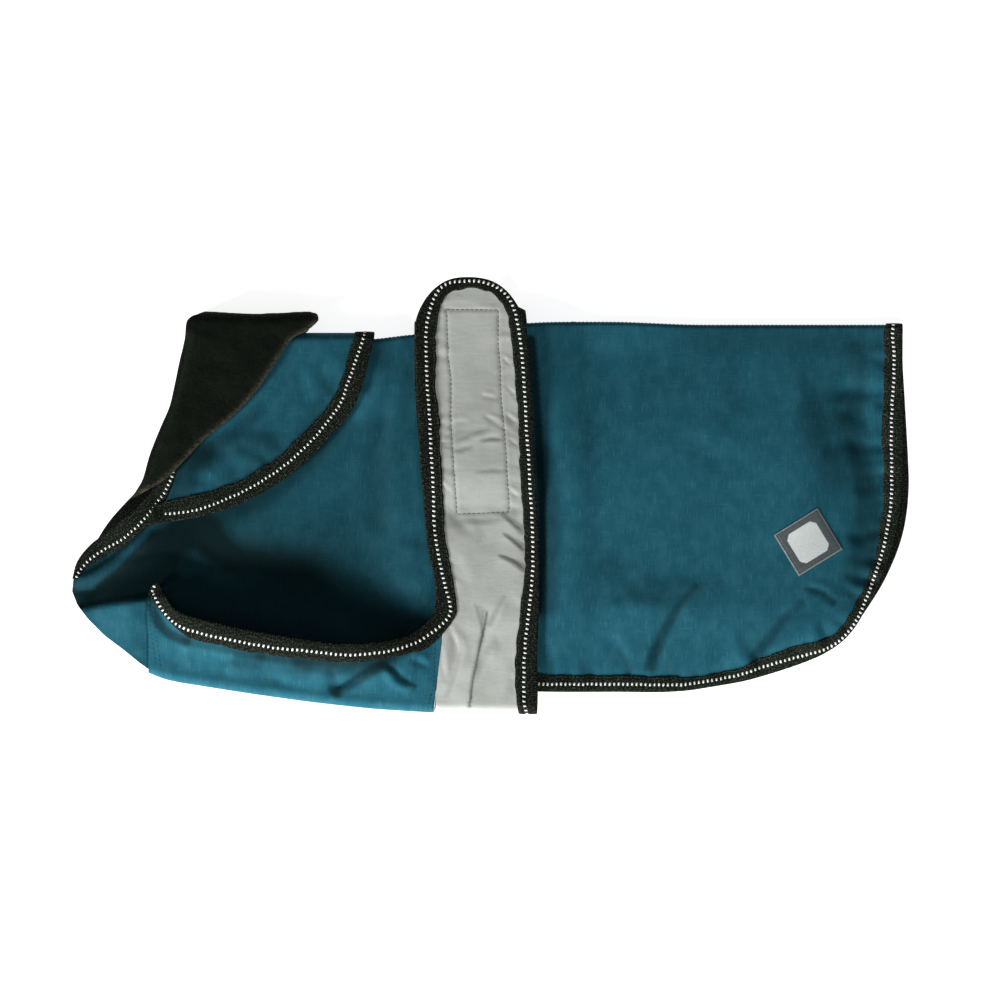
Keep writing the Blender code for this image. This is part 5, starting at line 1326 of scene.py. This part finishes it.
def seam(shift):
    """The line between chest panel and strap, moved by shift towards the strap."""
    rows = [(x + shift, s) for x, s in seam_rows[1:]]
    bottom = (SEAM_X["x"][0] + shift, 0.0)
    return [(-330.0, seam_s + shift), (seam_rows[0][0] + shift, seam_s + shift)] + rows + [bottom] + [(x, -s) for x, s in rows[::-1]] + [(seam_rows[0][0] + shift, -seam_s - shift), (-330.0, -seam_s - shift)]


SEAM_IN, SEAM_OUT = seam(-0.15), seam(0.15)
hook_path = [tuple(q) for q in spaced(laid(belly, HOOK_PATCH, 1), 1.3)]


def beside(chain, by):
    p = np.array(chain)
    t = tangents(p, 2)
    return [tuple(q) for q in (p + by * np.column_stack([-t[:, 1], t[:, 0]]))[4:-4]]


hook_rails = [hook_path] + [beside(hook_path, by) for by in (-2.2, -0.9, 0.9, 2.2)]
pleat_path = [tuple(q) for q in spaced(laid(belly, rounded([q for q in STRAP_STEPS[-1][0] if -160.5 < q[1] < -88.0], 4), 1), 1.2)]
hook_rails += [pleat_path] + [beside(pleat_path, by) for by in (-0.6, 0.6)]
belly_sheet = Sheet(belly.place, [("bound", rounded(bound)), ("lap", [chest_far[0]] + front_lap + [chest_near[0]])], [
    (lambda x, s: (np.abs(s) < 17.0) | (np.abs(s - wing_mid) < 17.0), 2.4, 1.4),
    (lambda x, s: (s > 0) & (x > -56.0), 1.3, 1.15),
    (near_half, 2.2, 2.0),
    (everywhere, 5.0, 4.4),
], STRAP, face=-1.0, step=1.9, far_step=3.6, folds=(0.0, wing_mid), lines=(SEAM_IN, SEAM_OUT, *hook_rails))
in_chest = lambda x, s: inside(SEAM_IN, x, s)
in_strap = lambda x, s: ~inside(SEAM_OUT, x, s)
coat_chest = belly_sheet.shell("chest_panel_cloth", TEAL_CHEST_PAINTED_LIGHT, in_chest, attributes=[("deep", painted_shade_share(belly, CHEST_SHADES))])
# Painted shade on the strap besides its strokes: its upper part darkened broadly, and a thin dark line along the hook
# patch's stitching.
coat_strap = belly_sheet.shell("girth_strap_cloth", GREY, in_strap, attributes=[("deep", painted_shade_share(belly, STRAP_SHADES, lambda x, y: 0.19 * smooth((y + 112.0) / 60.0) * (1.0 - 0.9 * smooth((y - 138.0) / 8.0)) + 0.05 * smooth((y - 10.0) / 40.0) * smooth((110.0 - y) / 60.0) + 0.20 * np.exp(-((distance_to(HOOK_PATCH, x, y) / 1.0) ** 2))))])

collar = Fold(lambda x: COLLAR_FOLD_Y + 0.0 * x, near_collar, far_collar, 1.0, near_collar_0)
collar_bound = laid(collar, COLLAR_EDGE[::-1], -1) + [(-88.3, 0.0)] + laid(collar, COLLAR_EDGE, 1)
collar_neck = laid(collar, COLLAR_NECK, 1) + [(-211.5, 0.0)] + laid(collar, COLLAR_NECK[::-1], -1)
collar_sheet = Sheet(collar.place, [
    ("bound", rounded(collar_bound)),
    ("neck", [collar_bound[-1]] + rounded(collar_neck) + [collar_bound[0]]),
], [(near_fold(17.0), 2.6, 1.5), (near_half, 2.2, 2.0), (everywhere, 4.6, 4.2)], SHELL, step=1.9, far_step=3.6)
coat_collar = collar_sheet.shell("shell_collar_cloth", TEAL_COLLAR_PAINTED_SHADE, attributes=[("deep", painted_shade_share(collar, COLLAR_SHADES))])

flap = Fold(lambda x: FLEECE_FOLD_Y + 0.9 * np.sin((x + 150.0) / 17.0) - 0.6 + 0.0 * x, near_flap, far_flap, 1.0, near_flap_0)
flap_edge, flap_edge_far = laid(flap, FLEECE_EDGE, 1), laid(flap, FLEECE_EDGE[:-1], -1)
flap_hem, flap_hem_far = laid(flap, FLEECE_HEM, 1), laid(flap, FLEECE_HEM[1:], -1)
flap_roll = [(-130.5, 12.0), (-129.8, 8.5), (-131.2, 5.0), (-134.5, 2.0), (-136.0, 0.0), (-136.0, -5.0), (-137.0, -10.0)]
flap_corner = [(-229.5, -14.0), (-226.5, -9.0), (-221.5, -5.0), (-217.5, 0.0), (-221.0, 4.5), (-226.5, 8.5), (-229.8, 13.0)]
flap_hem_chain = rounded(flap_hem + flap_roll + flap_hem_far[::-1])
flap_sheet = Sheet(flap.place, [
    ("hem", flap_hem_chain),
    ("edge", rounded([flap_hem_far[0]] + flap_edge_far[::-1] + flap_corner + flap_edge + [flap_hem[0]])),
], [(near_fold(20.0), 1.6, 1.3), (near_half, 1.5, 1.35), (everywhere, 3.2, 3.0)], FLEECE, step=1.3, far_step=2.8, rim=1.6)


def tufts(x, s):
    return 0.16 * lattice_noise(x, s, 2.6, 61) + 0.22 * lattice_noise(x, s, 6.5, 62)


hem_line = [tuple(q) for q in flap_hem_chain]
coat_flap = flap_sheet.shell("fleece_collar_cloth", NAP, lumps=tufts, sharp=180.0, attributes=[("rim", lambda x, s: np.exp(-((distance_to(hem_line, x, s) / 2.6) ** 2)))])

inner = Fold(lambda x: NECK_FOLD_Y + 0.0 * x, near_inner, far_inner, 1.0)
inner_near, inner_far = laid(inner, INNER_NEAR, 1), laid(inner, INNER_FAR, -1)
inner_sheet = Sheet(inner.place, [
    ("near", rounded(inner_near, 6)),
    ("rear_fold", [inner_near[-1], (-179.0, 0.0), inner_far[0]]),
    ("far", rounded(inner_far, 6)),
    ("front_fold", [inner_far[-1], (-217.5, 0.0), inner_near[0]]),
], [(near_fold(12.0), 2.2, 1.1), (everywhere, 3.0, 2.8)], FLEECE - 0.2, face=1.0, step=2.0, far_step=2.4, folds=(0.0,), rim=1.4)
coat_inner = inner_sheet.shell("fleece_neck_cloth", NAP, lumps=lambda x, s: 0.5 * tufts(x, s), sharp=180.0, attributes=[("rim", lambda x, s: 0.0 * x)])

# Bindings and their ladders.
tape_hem = Tape("hem_binding_tape", back_sheet, back_sheet.chains["hem"], 101, HEM_INNER, HEM_LADDER, back.flat_y, 12.6, 0.5)
tape_neck_near = Tape("neck_binding_near_tape", back_sheet, back_sheet.chains["neck_near"], 111, NECK_INNER, NECK_LADDER, back.flat_y, 12.6, 0.5, (0.0, 16.0))
tape_neck_far = Tape("neck_binding_far_tape", back_sheet, back_sheet.chains["neck_far"], 121, None, None, None, 12.6, 0.5, (12.0, 0.0))
tape_belly = Tape("belly_binding_tape", belly_sheet, belly_sheet.chains["bound"], 131, BELLY_INNER, BELLY_LADDER, belly.flat_y, 13.0, 0.5, (6.0, 6.0), pitch=3.68)
tape_collar = Tape("collar_binding_tape", collar_sheet, collar_sheet.chains["bound"], 141, COLLAR_INNER, COLLAR_LADDER, collar.flat_y, 13.8, 0.55, (6.0, 6.0))
TAPES = {"hem_binding": tape_hem, "neck_binding_near": tape_neck_near, "neck_binding_far": tape_neck_far, "belly_binding": tape_belly, "collar_binding": tape_collar}
tape_pieces = {}
for node, tape in TAPES.items():
    size = (1.5, 2.5) if tape in (tape_belly, tape_hem) else (1.35, 2.15)
    clear_of_neck = (lambda at: at[:, 0] > -247.5) if tape is tape_collar else None
    tape_pieces[node] = (tape.body(BLACK_TAPE_PAINTED_SHADOW if tape is tape_neck_far else BLACK if tape is tape_hem else BLACK_TAPE_PAINTED_SHADE), tape.ladder(BLOCK, *size, keep=clear_of_neck))


# Label: a plain patch on the near half.
def label_mesh():
    cells = 26
    grid = np.linspace(-0.5, 0.5, cells + 1)
    u, v = np.meshgrid(grid * LABEL_SIDES[0], grid * LABEL_SIDES[1], indexing="ij")
    x = LABEL_MIDDLE[0] + u * math.cos(LABEL_TURN) - v * math.sin(LABEL_TURN)
    y = LABEL_MIDDLE[1] + u * math.sin(LABEL_TURN) + v * math.cos(LABEL_TURN)
    edge_gap = np.minimum(LABEL_SIDES[0] / 2 - np.abs(u), LABEL_SIDES[1] / 2 - np.abs(v))
    z = near_back(x, y) + SHELL / 2 + 0.15
    top = z + 0.75 * np.sqrt(1.0 - (1.0 - np.clip((edge_gap + 0.1) / 0.9, 0, 1)) ** 2) - 0.22 * np.exp(-(((edge_gap - 1.7) / 0.5) ** 2))
    n = cells + 1
    points = np.concatenate([np.stack([x, y, top], -1).reshape(-1, 3), np.stack([x, y, z], -1).reshape(-1, 3)])
    i, j = np.meshgrid(np.arange(cells), np.arange(cells), indexing="ij")
    a = (i * n + j).ravel()
    quads = np.column_stack([a, a + n, a + n + 1, a + 1])
    rim = [(k, 0) for k in range(cells)] + [(cells, k) for k in range(cells)] + [(cells - k, cells) for k in range(cells)] + [(0, cells - k) for k in range(cells)]
    rim = np.array([p * n + q for p, q in rim])
    nxt = np.roll(rim, -1)
    walls = np.column_stack([nxt, rim, rim + n * n, nxt + n * n])
    uv = np.stack([u, v], -1).reshape(-1, 2)
    return build("label_patch", points, np.concatenate([quads, quads[:, ::-1] + n * n, walls]), PATCH, np.concatenate([uv, uv]), sharp=50.0)


patch = label_mesh()


# Stitching.
def on_sheet(sheet, chain, step=0.8, lift=0.05):
    p = spaced(chain, step)
    at = sheet.place(p[:, 0], p[:, 1])
    n = normals_at(sheet.place, p[:, 0], p[:, 1], sheet.face)
    return at + n * (sheet.thickness / 2 + lift), n


def shifted(chain, by):
    """The chain moved to its left by some millimetres."""
    p = spaced(chain, 1.5)
    t = tangents(p, 2)
    return p + by * np.column_stack([-t[:, 1], t[:, 0]])


hook_lines = [on_sheet(belly_sheet, laid(belly, HOOK_PATCH[i:i + 2] if i != 1 else HOOK_PATCH[1:9], 1)) for i in (0, 1)]
hook_lines += [on_sheet(belly_sheet, laid(belly, HOOK_PATCH[8:12], 1)), on_sheet(belly_sheet, laid(belly, HOOK_PATCH[11:], 1))]
stitch_hook = thread("hook_patch_stitches", hook_lines, GREY_THREAD, radius=0.22)

seam_top = belly.pattern(np.float64(-36.4), np.float64(-116.0), 1)
rear_line = [(-41.8, float(seam_top)), (-42.6, 26.0), (-46.8, 8.0), (-47.4, 0.0), (-46.8, -8.0), (-42.6, -26.0), (-41.8, -float(seam_top))]
stitch_rear = thread("chest_seam_stitches", [on_sheet(belly_sheet, rounded(rear_line))], TEAL_THREAD, radius=0.16)
lap_line = laid(belly, [(-258.4, -80.0), (-257.8, -96.0), (-255.8, -112.0), (-253.4, -130.0)], 1)
stitch_front = thread("front_seam_stitches", [on_sheet(belly_sheet, lap_line), on_sheet(belly_sheet, [(x + 3.6, s) for x, s in lap_line])], TEAL_THREAD, radius=0.16)

edge_lines = []
for tape in TAPES.values():
    p, n, _ = tape.track(0.10, tape.sheet.thickness / 2 + 0.10 + TAPE + 0.0)
    edge_lines.append((p, n))
stitch_edges = thread("binding_stitches", edge_lines, BLACK_THREAD, stitch=2.6, gap=0.8, radius=0.17, sides=4)


def label_stitches():
    lines = []
    w, h = LABEL_SIDES[0] / 2 - 1.7, LABEL_SIDES[1] / 2 - 1.7
    for (u0, v0), (u1, v1) in (((-w, -h), (w, -h)), ((w, -h), (w, h)), ((w, h), (-w, h)), ((-w, h), (-w, -h))):
        k = np.linspace(0, 1, 40)
        u, v = u0 + (u1 - u0) * k, v0 + (v1 - v0) * k
        x = LABEL_MIDDLE[0] + u * math.cos(LABEL_TURN) - v * math.sin(LABEL_TURN)
        y = LABEL_MIDDLE[1] + u * math.sin(LABEL_TURN) + v * math.cos(LABEL_TURN)
        z = near_back(x, y) + SHELL / 2 + 0.15 + 0.75 - 0.14
        lines.append((np.column_stack([x, y, z]), np.tile((0.0, 0.0, 1.0), (40, 1))))
    return thread("label_stitches", lines, GREY_THREAD, stitch=2.2, gap=0.6, radius=0.16)


stitch_label = label_stitches()

# ---------------------------------------------------------------- how the pieces go with the frame
SLOTS = {
    "teal_shell": [coat_back, coat_chest, coat_collar, stitch_rear, stitch_front],
    "reflective_grey": [coat_strap, stitch_hook],
    "black_fleece": [coat_flap, coat_inner],
    "binding_tape": [piece for pair in tape_pieces.values() for piece in pair] + [stitch_edges],
    "label_grey": [patch, stitch_label],
}
for slot_name, members in SLOTS.items():
    for piece in members:
        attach(piece, "root")
for piece, node in ((coat_back, "back_panel"), (coat_chest, "chest_panel"), (coat_strap, "girth_strap"), (coat_collar, "shell_collar"), (coat_flap, "fleece_collar"), (coat_inner, "fleece_neck"), (patch, "label")):
    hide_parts(node)
for node, pair in tape_pieces.items():
    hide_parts(node)


# ---------------------------------------------------------------- floor, light and camera
scene = bpy.context.scene
floor_mesh = bpy.data.meshes.new("floor")
floor_mesh.from_pydata([(-6, -6, -0.0004), (6, -6, -0.0004), (6, 6, -0.0004), (-6, 6, -0.0004)], [], [(0, 1, 2, 3)])
floor = bpy.data.objects.new("floor", floor_mesh)
scene.collection.objects.link(floor)
fm = Nodes("pale_floor")
floor_mesh.materials.append(fm.finish((0.90, 0.90, 0.90), 0.9, Specular_IOR_Level=0.1, Emission_Color=(1.0, 1.0, 1.0, 1.0), Emission_Strength=0.82))

room = bpy.data.worlds.new("room")
scene.world = room
room.use_nodes = True
room.node_tree.nodes["Background"].inputs["Color"].default_value = (1.0, 1.0, 1.0, 1.0)
room.node_tree.nodes["Background"].inputs["Strength"].default_value = 0.17


def area_light(name, at, aim, size, power):
    data = bpy.data.lights.new(name, "AREA")
    data.shape, data.size, data.size_y, data.energy = "RECTANGLE", size[0], size[1], power
    obj = bpy.data.objects.new(name, data)
    obj.location = at
    obj.rotation_euler = (Vector(aim) - Vector(at)).to_track_quat("-Z", "Y").to_euler()
    scene.collection.objects.link(obj)
    return obj


area_light("key", (-7.38, -4.62, 2.94), (0.0, 0.0, 0.0), (2.55, 2.1), 1330.0)
area_light("fill", (1.9, -8.2, 2.95), (0.0, 0.0, 0.0), (3.2, 2.2), 640.0)

camera_data = bpy.data.cameras.new("camera")
camera = bpy.data.objects.new("camera", camera_data)
DISTANCE, ACROSS = 5.0, 0.76
camera_data.sensor_width = 36.0
camera_data.lens = 36.0 * DISTANCE / ACROSS
camera_data.clip_start, camera_data.clip_end = 0.1, 50.0
camera.location = (0.00725, -0.00285, DISTANCE + 0.008)
camera.rotation_euler = (0.0, 0.0, 0.0)
scene.collection.objects.link(camera)
scene.camera = camera
scene.view_settings.view_transform = "Standard"
scene.view_settings.look = "None"
scene.view_settings.exposure = 0.0
